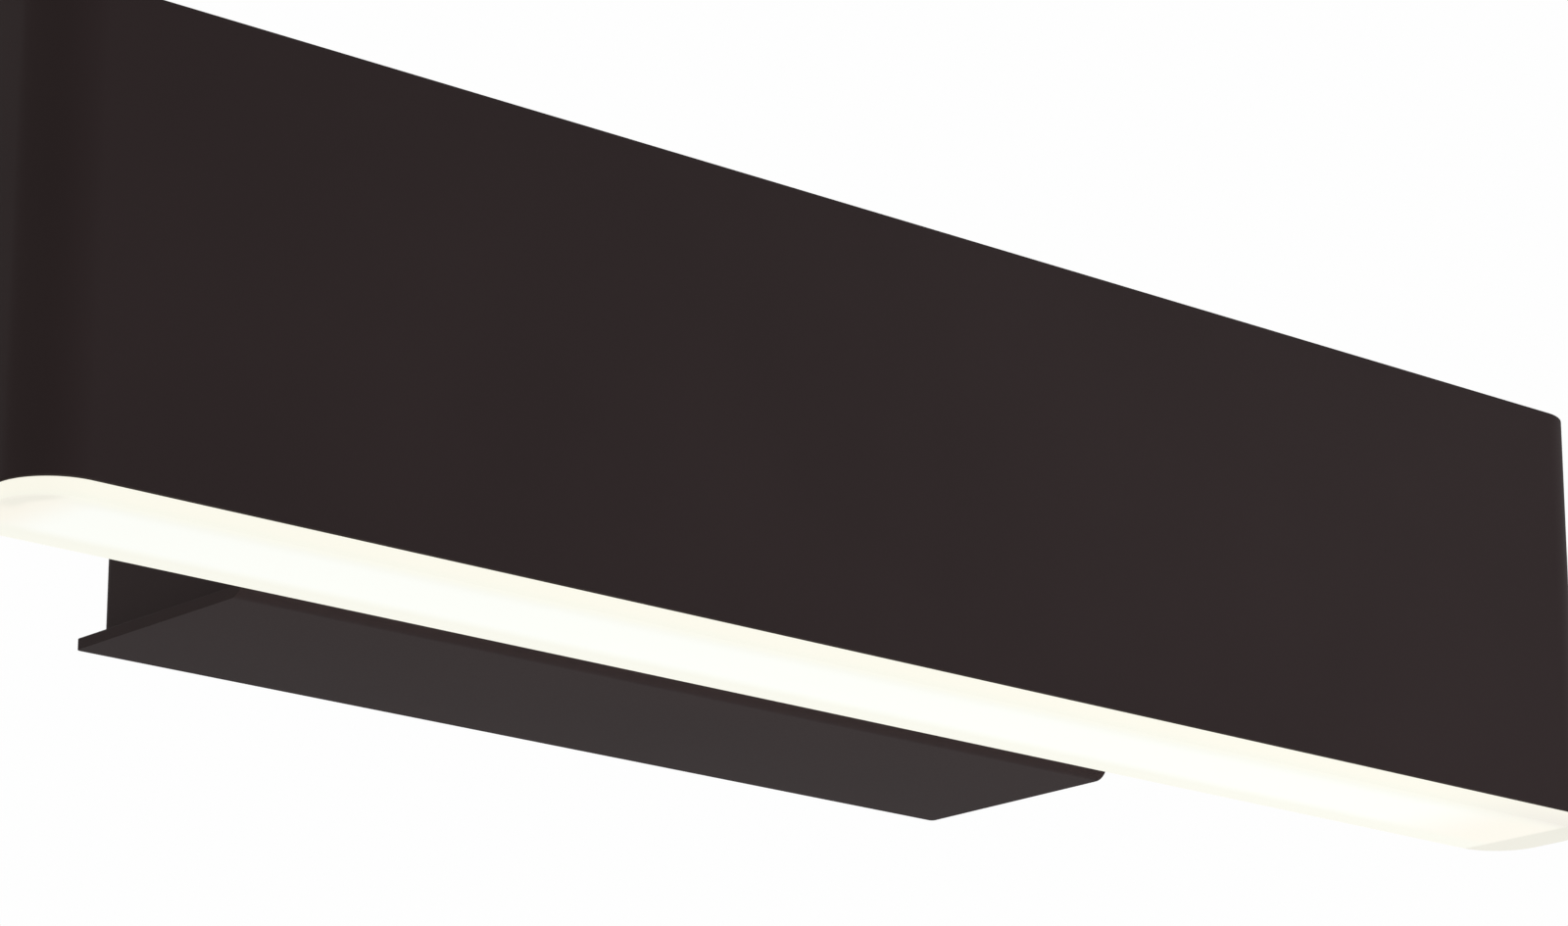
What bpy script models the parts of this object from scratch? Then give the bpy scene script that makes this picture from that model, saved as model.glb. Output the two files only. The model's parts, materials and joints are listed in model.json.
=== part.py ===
"""LED wall light: a rounded sleeve head over an opal diffuser, held off a folded wall canopy by two stems.

Metres, +Z up. The wall is the plane y = 0 and the lamp faces -Y. The origin is the middle of the wall
bracket's back face, level with the middle of the head.
"""

import math

import bmesh
import bpy

# Fits and cuts shared by every piece
TOUCH_GAP = 0.0003
HOLE_CLEARANCE = 0.0003
CORNER_INSET_SHARE = 0.5
CUT_OVERRUN = 0.001
JOIN_OVERLAP = 0.0005

# How finely round outlines are stepped
CORNER_STEPS = 10
BEND_STEPS = 5
ROUND_SIDES = 18
SCREW_SIDES = 16
HOLE_SIDES = 12
SMALL_CORNER_STEPS = 3
WIRE_ROUNDS = 2
CORNER_CUT_SHARE = 0.25
WIRE_RESOLUTION = 2

# Light head: a bent aluminium sleeve, open above and below
PROJECTION = 0.106
HEAD_LENGTH = 0.360
HEAD_HEIGHT = 0.080
HEAD_DEPTH = 0.0265
HEAD_CORNER = 0.010
HEAD_WALL = 0.002
HEAD_EDGE = 0.0003

# Opal diffuser: a plate flush with the sleeve and a step that plugs it
DIFFUSER_PROUD = 0.0032
DIFFUSER_EDGE = 0.0003
DIFFUSER_PLUG = 0.003
DIFFUSER_FIT = 0.0003

# Plate that closes the sleeve's top
CAP_RECESS = 0.0015
CAP_THICKNESS = 0.002
CAP_FIT = 0.0003
CAP_SCREW_INSET = 0.045

# Folded channel inside the head: it carries the board below and the cap above
FRAME_SHEET = 0.0015
FRAME_BEND = 0.0025
FRAME_END_GAP = 0.015
FRAME_FRONT_GAP = 0.0005
SHELF_HEIGHT = 0.022

# Light source under the shelf
BOARD_THICKNESS = 0.0016
BOARD_WIDTH = 0.014
BOARD_END_GAP = 0.005
LED_PITCH = 0.011
LED_END_GAP = 0.004
LED_SIZE = 0.003
LED_HEIGHT = 0.0007
BOARD_SCREW_PITCHES_IN = 4
LEAD_HOLE_RADIUS = 0.0025
LEAD_HOLE_PITCHES = 6

# White reflector round the board
REFLECTOR_WALL = 0.001
REFLECTOR_SLOPE = 0.0016
REFLECTOR_SIDE_GAP = 0.0006
REFLECTOR_END_GAP = 0.010
REFLECTOR_CORNER = 0.0025

# Stems between head and canopy, each a spacer tube over a hollow threaded nipple
STEM_SPACING = 0.120
STEM_RADIUS = 0.007
STEM_EDGE = 0.0004
NIPPLE_RADIUS = 0.005
NIPPLE_BORE_RADIUS = 0.0035
NIPPLE_TAIL = 0.002
NIPPLE_EDGE = 0.0005
NUT_ACROSS_FLATS = 0.014
NUT_THICKNESS = 0.004
NUT_EDGE = 0.0005
WASHER_RADIUS = 0.0078
WASHER_THICKNESS = 0.001

# Canopy cover: underside, front and top folded from one sheet, open at both ends
COVER_WIDTH = 0.204
COVER_HEIGHT = 0.069
COVER_DEPTH = 0.0495
COVER_SHEET = 0.002
COVER_BEND = 0.003
COVER_CORNER = 0.001
COVER_SCREW_SPACING = 0.170
COVER_SCREW_SETBACK = 0.025

# Hooks on the cover's underside panel, which grip the bracket's lower tabs
HOOK_WIDTH = 0.010
HOOK_THICKNESS = 0.002
HOOK_REACH = 0.006

# Wall bracket: back plate with its two ends folded forward
BRACKET_SHEET = 0.002
BRACKET_BEND = 0.003
BRACKET_END_INSET = 0.005
BRACKET_FRONT_GAP = 0.0005
TAB_LENGTH = 0.016
TAB_DEPTH = 0.012
WALL_SLOT_SPACING = 0.120
WALL_SLOT_LENGTH = 0.014
WALL_SLOT_WIDTH = 0.0052

# Mains entry in the back plate
ENTRY_X = -0.028
ENTRY_Z = 0.016
ENTRY_RADIUS = 0.008
GROMMET_FLANGE_RADIUS = 0.010
GROMMET_BORE_RADIUS = 0.0055
GROMMET_FLANGE = 0.002
GROMMET_SETBACK = 0.0003

# Terminal block
TERMINAL_X = 0.022
TERMINAL_Z = 0.017
TERMINAL_PITCH = 0.010
TERMINAL_WAYS = 3
TERMINAL_END = 0.001
TERMINAL_HEIGHT = 0.018
TERMINAL_DEPTH = 0.012
TERMINAL_EDGE = 0.0005
TERMINAL_WIRE_DEPTH = 0.004
TERMINAL_ENTRY_RADIUS = 0.0015
TERMINAL_ENTRY_DEPTH = 0.005
TERMINAL_WELL_RADIUS = 0.002
TERMINAL_WELL_RISE = 0.005
TERMINAL_WELL_DEPTH = 0.007
CLAMP_SCREW_RADIUS = 0.0017
CLAMP_SCREW_LENGTH = 0.0045
CLAMP_SCREW_SINK = 0.0008

# Earth connection
EARTH_X = 0.062
EARTH_Z = 0.020
TAG_RADIUS = 0.004
TAG_THICKNESS = 0.0008
TAG_NECK_WIDTH = 0.004
TAG_NECK_LENGTH = 0.0075
TAG_BARREL_RADIUS = 0.0014
TAG_BARREL_LENGTH = 0.004

# Driver: an open case, its lid and the board between them
DRIVER_LENGTH = 0.096
DRIVER_HEIGHT = 0.021
DRIVER_DEPTH = 0.022
DRIVER_WALL = 0.0015
DRIVER_CORNER = 0.002
DRIVER_BOTTOM_GAP = 0.0012
EAR_LENGTH = 0.009
EAR_WIDTH = 0.011
EAR_THICKNESS = 0.002
LID_THICKNESS = 0.0015
LID_STEP = 0.0015
LID_EDGE = 0.0004
PCB_THICKNESS = 0.0014
PCB_STANDOFF = 0.0025
PCB_FIT = 0.0004
PCB_CORNER = 0.0005
LEAD_WINDOW_RADIUS = 0.0016
LEAD_WINDOW_SPREAD = 0.006
LEAD_WINDOW_RISE = 0.008

# What stands on the driver board: length, width and height of the blocks, radius and height of the drums
TRANSFORMER = (0.022, 0.014, 0.0115)
CHIP = (0.006, 0.005, 0.0016)
CHOKE = (0.0045, 0.009)
CAPACITOR = (0.004, 0.012)
COMPONENTS = (CHOKE, CAPACITOR, CHIP, TRANSFORMER, CAPACITOR, CHIP)

# Screws: shank radius, head radius, head height
M3_RADIUS = 0.0015
M3_HEAD_RADIUS = 0.0028
M3_HEAD_HEIGHT = 0.002
M4_RADIUS = 0.002
M4_HEAD_RADIUS = 0.0038
M4_HEAD_HEIGHT = 0.0026
SCREW_TIP = 0.0004
SCREW_CROWN = 0.0007
SINK_HEIGHT = 0.0014
SINK_RADIUS = 0.0028
SINK_SCREW_LENGTH = 0.006
BOARD_SCREW_LENGTH = 0.0045
RECESS_DEPTH = 0.0008
RECESS_LENGTH_SHARE = 0.5
RECESS_WIDTH_SHARE = 0.14
RECESS_TAPER_SHARE = 0.6

# Wires
WIRE_RADIUS = 0.0008
WIRE_SPREAD = 0.0011
WIRE_BEND = 0.004
LAMP_SWING_INNER = 0.013
LAMP_SWING_OUTER = 0.019
MAINS_SWING_INNER = 0.011
MAINS_SWING_OUTER = 0.018
MAINS_DROP_INNER = 0.011
MAINS_DROP_OUTER = 0.005

# Places worked out from the sizes above
HEAD_FRONT = -PROJECTION
HEAD_BACK = HEAD_FRONT + HEAD_DEPTH
HEAD_MIDDLE = (HEAD_FRONT + HEAD_BACK) / 2
HEAD_TOP = HEAD_HEIGHT / 2
HEAD_BOTTOM = -HEAD_TOP
CAP_TOP = HEAD_TOP - CAP_RECESS
FRAME_TOP = CAP_TOP - CAP_THICKNESS - TOUCH_GAP
FRAME_BACK = HEAD_BACK - HEAD_WALL - TOUCH_GAP
FRAME_FRONT = HEAD_FRONT + HEAD_WALL + FRAME_FRONT_GAP
FRAME_LENGTH = HEAD_LENGTH - 2 * FRAME_END_GAP
SHELF_BOTTOM = HEAD_BOTTOM + SHELF_HEIGHT
CAP_SCREW_X = FRAME_LENGTH / 2 - CAP_SCREW_INSET
CAP_SCREW_PLACES = [(-CAP_SCREW_X, HEAD_MIDDLE), (CAP_SCREW_X, HEAD_MIDDLE)]
BOARD_TOP = SHELF_BOTTOM - TOUCH_GAP
BOARD_BOTTOM = BOARD_TOP - BOARD_THICKNESS
BOARD_LENGTH = FRAME_LENGTH - 2 * BOARD_END_GAP
LED_COUNT = 2 * math.floor((BOARD_LENGTH / 2 - LED_END_GAP) / LED_PITCH)
BOARD_SCREW_X = (LED_COUNT / 2 - BOARD_SCREW_PITCHES_IN) * LED_PITCH
BOARD_SCREW_PLACES = [(x, HEAD_MIDDLE) for x in (-BOARD_SCREW_X, 0, BOARD_SCREW_X)]
LEAD_HOLE_X = -LEAD_HOLE_PITCHES * LED_PITCH
PLUG_TOP = HEAD_BOTTOM - TOUCH_GAP + DIFFUSER_PLUG
COVER_FRONT = -COVER_DEPTH
COVER_INSIDE = COVER_FRONT + COVER_SHEET
COVER_TOP = COVER_HEIGHT / 2
BRACKET_TOP = COVER_TOP - COVER_SHEET - TOUCH_GAP
BRACKET_END = COVER_WIDTH / 2 - BRACKET_END_INSET
PLATE_FRONT = -BRACKET_SHEET
SEAT = PLATE_FRONT - TOUCH_GAP
TAB_FRONT = -COVER_SCREW_SETBACK - TAB_DEPTH / 2
STEM_X = STEM_SPACING / 2
STEM_LENGTH = COVER_FRONT - HEAD_BACK - 2 * TOUCH_GAP
HEAD_SEAT = FRAME_BACK - FRAME_SHEET - TOUCH_GAP
CANOPY_SEAT = COVER_INSIDE + TOUCH_GAP
NUT_OFFSET = WASHER_THICKNESS + TOUCH_GAP
NIPPLE_FRONT = HEAD_SEAT - NUT_OFFSET - NUT_THICKNESS - NIPPLE_TAIL
NIPPLE_BACK = CANOPY_SEAT + NUT_OFFSET + NUT_THICKNESS + NIPPLE_TAIL
DRIVER_Z = -BRACKET_TOP + DRIVER_BOTTOM_GAP + DRIVER_HEIGHT / 2
DRIVER_FRONT = SEAT - DRIVER_DEPTH
EAR_X = (DRIVER_LENGTH + EAR_LENGTH) / 2
LEAD_WINDOW_Y = DRIVER_FRONT + LEAD_WINDOW_RISE
LEAD_WINDOW_ZS = (DRIVER_Z - LEAD_WINDOW_SPREAD / 2, DRIVER_Z + LEAD_WINDOW_SPREAD / 2)
TERMINAL_BOTTOM = TERMINAL_Z - TERMINAL_HEIGHT / 2
TERMINAL_FRONT = SEAT - TERMINAL_DEPTH
TERMINAL_ENTRY_Y = SEAT - TERMINAL_WIRE_DEPTH
TERMINAL_WAY_X = [TERMINAL_X + (i - (TERMINAL_WAYS - 1) / 2) * TERMINAL_PITCH for i in range(TERMINAL_WAYS)]
TERMINAL_SCREW_X = TERMINAL_X + TERMINAL_PITCH / 2
CLAMP_PLACES = [(x, TERMINAL_Z + way * TERMINAL_WELL_RISE) for way in (-1, 1) for x in TERMINAL_WAY_X]
TAG_FRONT = SEAT - TAG_THICKNESS
TAG_BARREL_END = EARTH_Z - TAG_NECK_LENGTH - TAG_BARREL_LENGTH
M3_PAN = (M3_RADIUS, M3_HEAD_RADIUS, M3_HEAD_HEIGHT)
M4_PAN = (M4_RADIUS, M4_HEAD_RADIUS, M4_HEAD_HEIGHT)

# Colour, roughness and metallic value of each finish
FINISHES = {
    "powder_coat": ((0.032, 0.024, 0.023), 0.55, 0.0),
    "opal": ((0.95, 0.94, 0.88), 0.35, 0.0),
    "white_coat": ((0.88, 0.88, 0.86), 0.45, 0.0),
    "zinc": ((0.62, 0.63, 0.64), 0.35, 1.0),
    "aluminium": ((0.72, 0.73, 0.74), 0.40, 1.0),
    "brass": ((0.78, 0.60, 0.30), 0.35, 1.0),
    "blackened": ((0.035, 0.033, 0.032), 0.45, 0.6),
    "white_plastic": ((0.82, 0.82, 0.80), 0.50, 0.0),
    "natural_plastic": ((0.78, 0.76, 0.70), 0.45, 0.0),
    "black_rubber": ((0.030, 0.030, 0.030), 0.75, 0.0),
    "circuit_green": ((0.05, 0.20, 0.09), 0.45, 0.0),
    "red_wire": ((0.50, 0.03, 0.02), 0.45, 0.0),
    "black_wire": ((0.025, 0.025, 0.025), 0.45, 0.0),
    "brown_wire": ((0.22, 0.09, 0.04), 0.45, 0.0),
    "blue_wire": ((0.04, 0.12, 0.45), 0.45, 0.0),
    "earth_wire": ((0.20, 0.48, 0.06), 0.45, 0.0),
}


def clear_scene():
    for obj in list(bpy.data.objects):
        bpy.data.objects.remove(obj, do_unlink=True)


# Outlines: lists of points in a plane, counter-clockwise


def circle(radius, sides, centre=(0, 0)):
    turns = [math.tau * i / sides for i in range(sides)]
    return [(centre[0] + radius * math.cos(a), centre[1] + radius * math.sin(a)) for a in turns]


def arc(centre, radius, start, end, steps):
    turns = [start + (end - start) * i / steps for i in range(steps + 1)]
    return [(centre[0] + radius * math.cos(a), centre[1] + radius * math.sin(a)) for a in turns]


def rounded_rectangle(low, high, radius, steps=CORNER_STEPS):
    """A rectangle from low to high with its four corners rounded alike."""
    quarter = math.pi / 2
    centres = [
        (high[0] - radius, high[1] - radius),
        (low[0] + radius, high[1] - radius),
        (low[0] + radius, low[1] + radius),
        (high[0] - radius, low[1] + radius),
    ]
    points = []
    for turn, centre in enumerate(centres):
        points += arc(centre, radius, turn * quarter, (turn + 1) * quarter, steps)
    return points


def centred_rectangle(length, width, radius, centre=(0, 0), steps=CORNER_STEPS):
    low = (centre[0] - length / 2, centre[1] - width / 2)
    high = (centre[0] + length / 2, centre[1] + width / 2)
    return rounded_rectangle(low, high, radius, steps)


def stadium(length, width, centre):
    """A slot's outline, longer along the first axis."""
    radius = width / 2
    reach = length / 2 - radius
    quarter = math.pi / 2
    right = arc((centre[0] + reach, centre[1]), radius, -quarter, quarter, CORNER_STEPS)
    left = arc((centre[0] - reach, centre[1]), radius, quarter, 3 * quarter, CORNER_STEPS)
    return right + left


def hexagon(across_flats, sides):
    """A hexagon with as many points as a circle of that many sides, so the two can be bridged."""
    sector = math.pi / 3
    points = []
    for i in range(sides):
        angle = math.tau * i / sides
        reach = across_flats / 2 / math.cos(angle % sector - sector / 2)
        points.append((reach * math.cos(angle), reach * math.sin(angle)))
    return points


def cross(length, width):
    """A screw's cross recess with one point for each of a screw's sides."""
    a, b = width, length
    quadrant = [(b, 0), (b, a), (a, a), (a, b)]
    points = []
    for turn in range(4):
        for x, y in quadrant:
            for _ in range(turn):
                x, y = -y, x
            points.append((x, y))
    return points


def folded_channel(open_end, web, low, high, sheet, bend):
    """Section of a channel: its web at one value of the first axis, its legs running to open_end."""
    way = 1 if open_end > web else -1
    inner = bend - sheet
    quarter = math.pi / 2
    outer_low = arc((bend, low + bend), bend, 3 * quarter, 2 * quarter, BEND_STEPS)
    outer_high = arc((bend, high - bend), bend, 2 * quarter, quarter, BEND_STEPS)
    inner_high = arc((bend, high - bend), inner, quarter, 2 * quarter, BEND_STEPS)
    inner_low = arc((bend, low + bend), inner, 2 * quarter, 3 * quarter, BEND_STEPS)
    reach = abs(open_end - web)
    local = (
        [(reach, low)]
        + outer_low
        + outer_high
        + [(reach, high), (reach, high - sheet)]
        + inner_high
        + inner_low
        + [(reach, low + sheet)]
    )
    return [(web + way * u, v) for u, v in local]


def flipped(outline):
    """The same outline with its two axes swapped."""
    return [(v, u) for u, v in outline]


# Solids: each of these adds one closed shape to a bmesh


def lifted(point, height, axis):
    u, v = point
    if axis == "X":
        return (height, u, v)
    if axis == "Y":
        return (u, height, v)
    return (u, v, height)


def loft(bm, rings, axis="Z", looped=False):
    """Bridge outlines of equal point counts. A looped loft closes on its first ring, like a tube's wall."""
    rows = [[bm.verts.new(lifted(p, height, axis)) for p in outline] for outline, height in rings]
    count = len(rows[0])
    pairs = list(zip(rows, rows[1:]))
    if looped:
        pairs.append((rows[-1], rows[0]))
    faces = []
    for first, second in pairs:
        for i in range(count):
            j = (i + 1) % count
            faces.append(bm.faces.new((first[i], first[j], second[j], second[i])))
    if not looped:
        faces.append(bm.faces.new(rows[0]))
        faces.append(bm.faces.new(rows[-1]))
    bmesh.ops.recalc_face_normals(bm, faces=faces)


def prism(bm, outline, low, high, axis="Z"):
    loft(bm, [(outline, low), (outline, high)], axis)


def rod(bm, radius, low, high, axis="Z", centre=(0, 0), sides=ROUND_SIDES):
    prism(bm, circle(radius, sides, centre), low, high, axis)


def box(bm, low, high):
    outline = [(low[0], low[1]), (high[0], low[1]), (high[0], high[1]), (low[0], high[1])]
    prism(bm, outline, low[2], high[2])


# Objects


def finish_of(name, finish):
    colour, roughness, metallic = FINISHES[finish]
    material = bpy.data.materials.new(name + "_finish")
    material.use_nodes = True
    shader = material.node_tree.nodes["Principled BSDF"]
    shader.inputs["Base Color"].default_value = (*colour, 1)
    shader.inputs["Roughness"].default_value = roughness
    shader.inputs["Metallic"].default_value = metallic
    material.diffuse_color = (*colour, 1)
    return material


def mesh_of(name, *shapes):
    """A mesh holding each shape, where a shape is a function that adds to a bmesh."""
    bm = bmesh.new()
    for shape in shapes:
        shape(bm)
    mesh = bpy.data.meshes.new(name)
    bm.to_mesh(mesh)
    bm.free()
    mesh.shade_smooth()
    mesh.set_sharp_from_angle(angle=math.radians(30))
    return mesh


def piece(name, mesh, finish, group, at=(0, 0, 0), facing="up"):
    obj = bpy.data.objects.new(name, mesh)
    bpy.context.scene.collection.objects.link(obj)
    obj.location = at
    obj.rotation_euler = FACING[facing]
    obj.parent = group
    slot_material = finish_of(name, finish)
    if not mesh.materials:
        mesh.materials.append(slot_material)
    obj.material_slots[0].link = "OBJECT"
    obj.material_slots[0].material = slot_material
    return obj


def helper(target, word, operation, *shapes):
    """A hidden shape and the Boolean on the target that uses it."""
    tool = bpy.data.objects.new(target.name + "_" + word, mesh_of(target.name + "_" + word, *shapes))
    bpy.context.scene.collection.objects.link(tool)
    tool.hide_render = True
    tool.display_type = "WIRE"
    tool.parent = target.parent
    modifier = target.modifiers.new(word, "BOOLEAN")
    modifier.operation = operation
    modifier.solver = "EXACT"
    modifier.object = tool


def cut(target, *shapes):
    helper(target, "cutter", "DIFFERENCE", *shapes)


def join(target, *shapes):
    helper(target, "addition", "UNION", *shapes)


def group_empty(name):
    empty = bpy.data.objects.new(name, None)
    bpy.context.scene.collection.objects.link(empty)
    return empty


def smooth_route(points):
    """The route with its corners cut back again and again, which keeps it inside its own polygon."""
    for _ in range(WIRE_ROUNDS):
        eased = [points[0]]
        for start, end in zip(points, points[1:]):
            for share in (CORNER_CUT_SHARE, 1 - CORNER_CUT_SHARE):
                eased.append(tuple(a + (b - a) * share for a, b in zip(start, end)))
        points = eased + [points[-1]]
    return points


def wire(name, points, finish, group):
    route = smooth_route(points)
    curve = bpy.data.curves.new(name, "CURVE")
    curve.dimensions = "3D"
    curve.bevel_depth = WIRE_RADIUS
    curve.bevel_resolution = WIRE_RESOLUTION
    curve.use_fill_caps = True
    spline = curve.splines.new("POLY")
    spline.points.add(len(route) - 1)
    for point, place in zip(spline.points, route):
        point.co = (*place, 1)
    curve.materials.append(finish_of(name, finish))
    obj = bpy.data.objects.new(name, curve)
    bpy.context.scene.collection.objects.link(obj)
    obj.parent = group
    return obj


# Fasteners: each is built about its own seat along +Z, then turned and placed

FACING = {
    "up": (0, 0, 0),
    "down": (math.pi, 0, 0),
    "front": (math.pi / 2, 0, 0),
    "back": (-math.pi / 2, 0, 0),
}


def recess_rings(head, top):
    wide = cross(head * RECESS_LENGTH_SHARE, head * RECESS_WIDTH_SHARE)
    narrow = [(u * RECESS_TAPER_SHARE, v * RECESS_TAPER_SHARE) for u, v in wide]
    return [(wide, top), (narrow, top - RECESS_DEPTH)]


def pan_screw(shank, head, height, length):
    """The head's underside is at zero and the shank runs down from it."""
    rings = [
        (circle(shank - SCREW_TIP, SCREW_SIDES), -length),
        (circle(shank, SCREW_SIDES), SCREW_TIP - length),
        (circle(shank, SCREW_SIDES), 0),
        (circle(head, SCREW_SIDES), 0),
        (circle(head, SCREW_SIDES), height - SCREW_CROWN),
        (circle(head - SCREW_CROWN, SCREW_SIDES), height),
    ]
    return mesh_of("pan_screw", lambda bm: loft(bm, rings + recess_rings(head, height)))


def sunk_screw(length):
    """The flat head's top is at zero."""
    rings = [
        (circle(M3_RADIUS - SCREW_TIP, SCREW_SIDES), -length),
        (circle(M3_RADIUS, SCREW_SIDES), SCREW_TIP - length),
        (circle(M3_RADIUS, SCREW_SIDES), -SINK_HEIGHT),
        (circle(SINK_RADIUS, SCREW_SIDES), 0),
    ]
    return mesh_of("sunk_screw", lambda bm: loft(bm, rings + recess_rings(SINK_RADIUS, 0)))


def clamp_screw():
    rings = [
        (circle(CLAMP_SCREW_RADIUS, SCREW_SIDES), -CLAMP_SCREW_LENGTH),
        (circle(CLAMP_SCREW_RADIUS, SCREW_SIDES), 0),
    ]
    return mesh_of("clamp_screw", lambda bm: loft(bm, rings + recess_rings(CLAMP_SCREW_RADIUS, 0)))


def sink_cutter(centre, top, bottom):
    """The hole that a flat head screw passes through, with its top at the given height."""
    hole = circle(M3_RADIUS + HOLE_CLEARANCE, SCREW_SIDES, centre)
    mouth = circle(SINK_RADIUS + HOLE_CLEARANCE, SCREW_SIDES, centre)
    rings = [(hole, bottom - CUT_OVERRUN), (hole, top - SINK_HEIGHT), (mouth, top), (mouth, top + CUT_OVERRUN)]
    return lambda bm: loft(bm, rings)


def tube_mesh(name, outer, inner, length, edge=0):
    rings = [(circle(outer, ROUND_SIDES), edge), (circle(outer, ROUND_SIDES), length - edge)]
    if edge:
        rings = [(circle(outer - edge, ROUND_SIDES), 0), *rings, (circle(outer - edge, ROUND_SIDES), length)]
    rings += [(circle(inner, ROUND_SIDES), length), (circle(inner, ROUND_SIDES), 0)]
    return mesh_of(name, lambda bm: loft(bm, rings, looped=True))


def nut_mesh():
    bore = circle(NIPPLE_RADIUS + HOLE_CLEARANCE, ROUND_SIDES)
    worn = hexagon(NUT_ACROSS_FLATS - 2 * NUT_EDGE, ROUND_SIDES)
    full = hexagon(NUT_ACROSS_FLATS, ROUND_SIDES)
    rings = [
        (worn, 0),
        (full, NUT_EDGE),
        (full, NUT_THICKNESS - NUT_EDGE),
        (worn, NUT_THICKNESS),
        (bore, NUT_THICKNESS),
        (bore, 0),
    ]
    return mesh_of("stem_nut", lambda bm: loft(bm, rings, looped=True))


# Head


def head_outline(inset):
    """The head's plan, drawn in by the same amount all round."""
    low = (-HEAD_LENGTH / 2 + inset, HEAD_FRONT + inset)
    high = (HEAD_LENGTH / 2 - inset, HEAD_BACK - inset)
    return rounded_rectangle(low, high, HEAD_CORNER - inset)


def nipple_holes(low, high):
    """Clearance holes for both nipples through a wall that spans low to high along Y."""
    radius = NIPPLE_RADIUS + HOLE_CLEARANCE

    def holes(bm):
        for x in (-STEM_X, STEM_X):
            rod(bm, radius, low - CUT_OVERRUN, high + CUT_OVERRUN, "Y", (x, 0))

    return holes


def screw_holes(radius, places, low, high, axis):
    def holes(bm):
        for place in places:
            rod(bm, radius + HOLE_CLEARANCE, low - CUT_OVERRUN, high + CUT_OVERRUN, axis, place, HOLE_SIDES)

    return holes


def head_sleeve(group):
    rings = [
        (head_outline(HEAD_EDGE), HEAD_BOTTOM),
        (head_outline(0), HEAD_BOTTOM + HEAD_EDGE),
        (head_outline(0), HEAD_TOP - HEAD_EDGE),
        (head_outline(HEAD_EDGE), HEAD_TOP),
        (head_outline(HEAD_WALL - HEAD_EDGE), HEAD_TOP),
        (head_outline(HEAD_WALL), HEAD_TOP - HEAD_EDGE),
        (head_outline(HEAD_WALL), HEAD_BOTTOM + HEAD_EDGE),
        (head_outline(HEAD_WALL - HEAD_EDGE), HEAD_BOTTOM),
    ]
    mesh = mesh_of("head_sleeve", lambda bm: loft(bm, rings, looped=True))
    sleeve = piece("head_sleeve", mesh, "powder_coat", group)
    cut(sleeve, nipple_holes(HEAD_BACK - HEAD_WALL, HEAD_BACK))


def diffuser(group):
    plug = head_outline(HEAD_WALL + DIFFUSER_FIT)
    shoulder = HEAD_BOTTOM - TOUCH_GAP
    rings = [
        (head_outline(DIFFUSER_EDGE), HEAD_BOTTOM - DIFFUSER_PROUD),
        (head_outline(0), HEAD_BOTTOM - DIFFUSER_PROUD + DIFFUSER_EDGE),
        (head_outline(0), shoulder),
        (plug, shoulder),
        (plug, PLUG_TOP),
    ]
    piece("diffuser", mesh_of("diffuser", lambda bm: loft(bm, rings)), "opal", group)


def head_top_cap(group):
    outline = head_outline(HEAD_WALL + CAP_FIT)
    bottom = CAP_TOP - CAP_THICKNESS
    mesh = mesh_of("head_top_cap", lambda bm: prism(bm, outline, bottom, CAP_TOP))
    cap = piece("head_top_cap", mesh, "powder_coat", group)
    cut(cap, *[sink_cutter(place, CAP_TOP, bottom) for place in CAP_SCREW_PLACES])
    screw = sunk_screw(SINK_SCREW_LENGTH)
    for word, place in zip(("left", "right"), CAP_SCREW_PLACES):
        piece("cap_screw_" + word, screw, "blackened", group, (*place, CAP_TOP), "up")


def inner_frame(group):
    section = folded_channel(FRAME_FRONT, FRAME_BACK, SHELF_BOTTOM, FRAME_TOP, FRAME_SHEET, FRAME_BEND)
    mesh = mesh_of("inner_frame", lambda bm: prism(bm, section, -FRAME_LENGTH / 2, FRAME_LENGTH / 2, "X"))
    frame = piece("inner_frame", mesh, "aluminium", group)
    shelf_top = SHELF_BOTTOM + FRAME_SHEET

    def lead_hole(bm):
        place = (LEAD_HOLE_X, HEAD_MIDDLE)
        rod(bm, LEAD_HOLE_RADIUS, SHELF_BOTTOM - CUT_OVERRUN, shelf_top + CUT_OVERRUN, "Z", place)

    cut(
        frame,
        nipple_holes(FRAME_BACK - FRAME_SHEET, FRAME_BACK),
        screw_holes(M3_RADIUS, CAP_SCREW_PLACES, FRAME_TOP - FRAME_SHEET, FRAME_TOP, "Z"),
        screw_holes(M3_RADIUS, BOARD_SCREW_PLACES, SHELF_BOTTOM, shelf_top, "Z"),
        lead_hole,
    )


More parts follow.
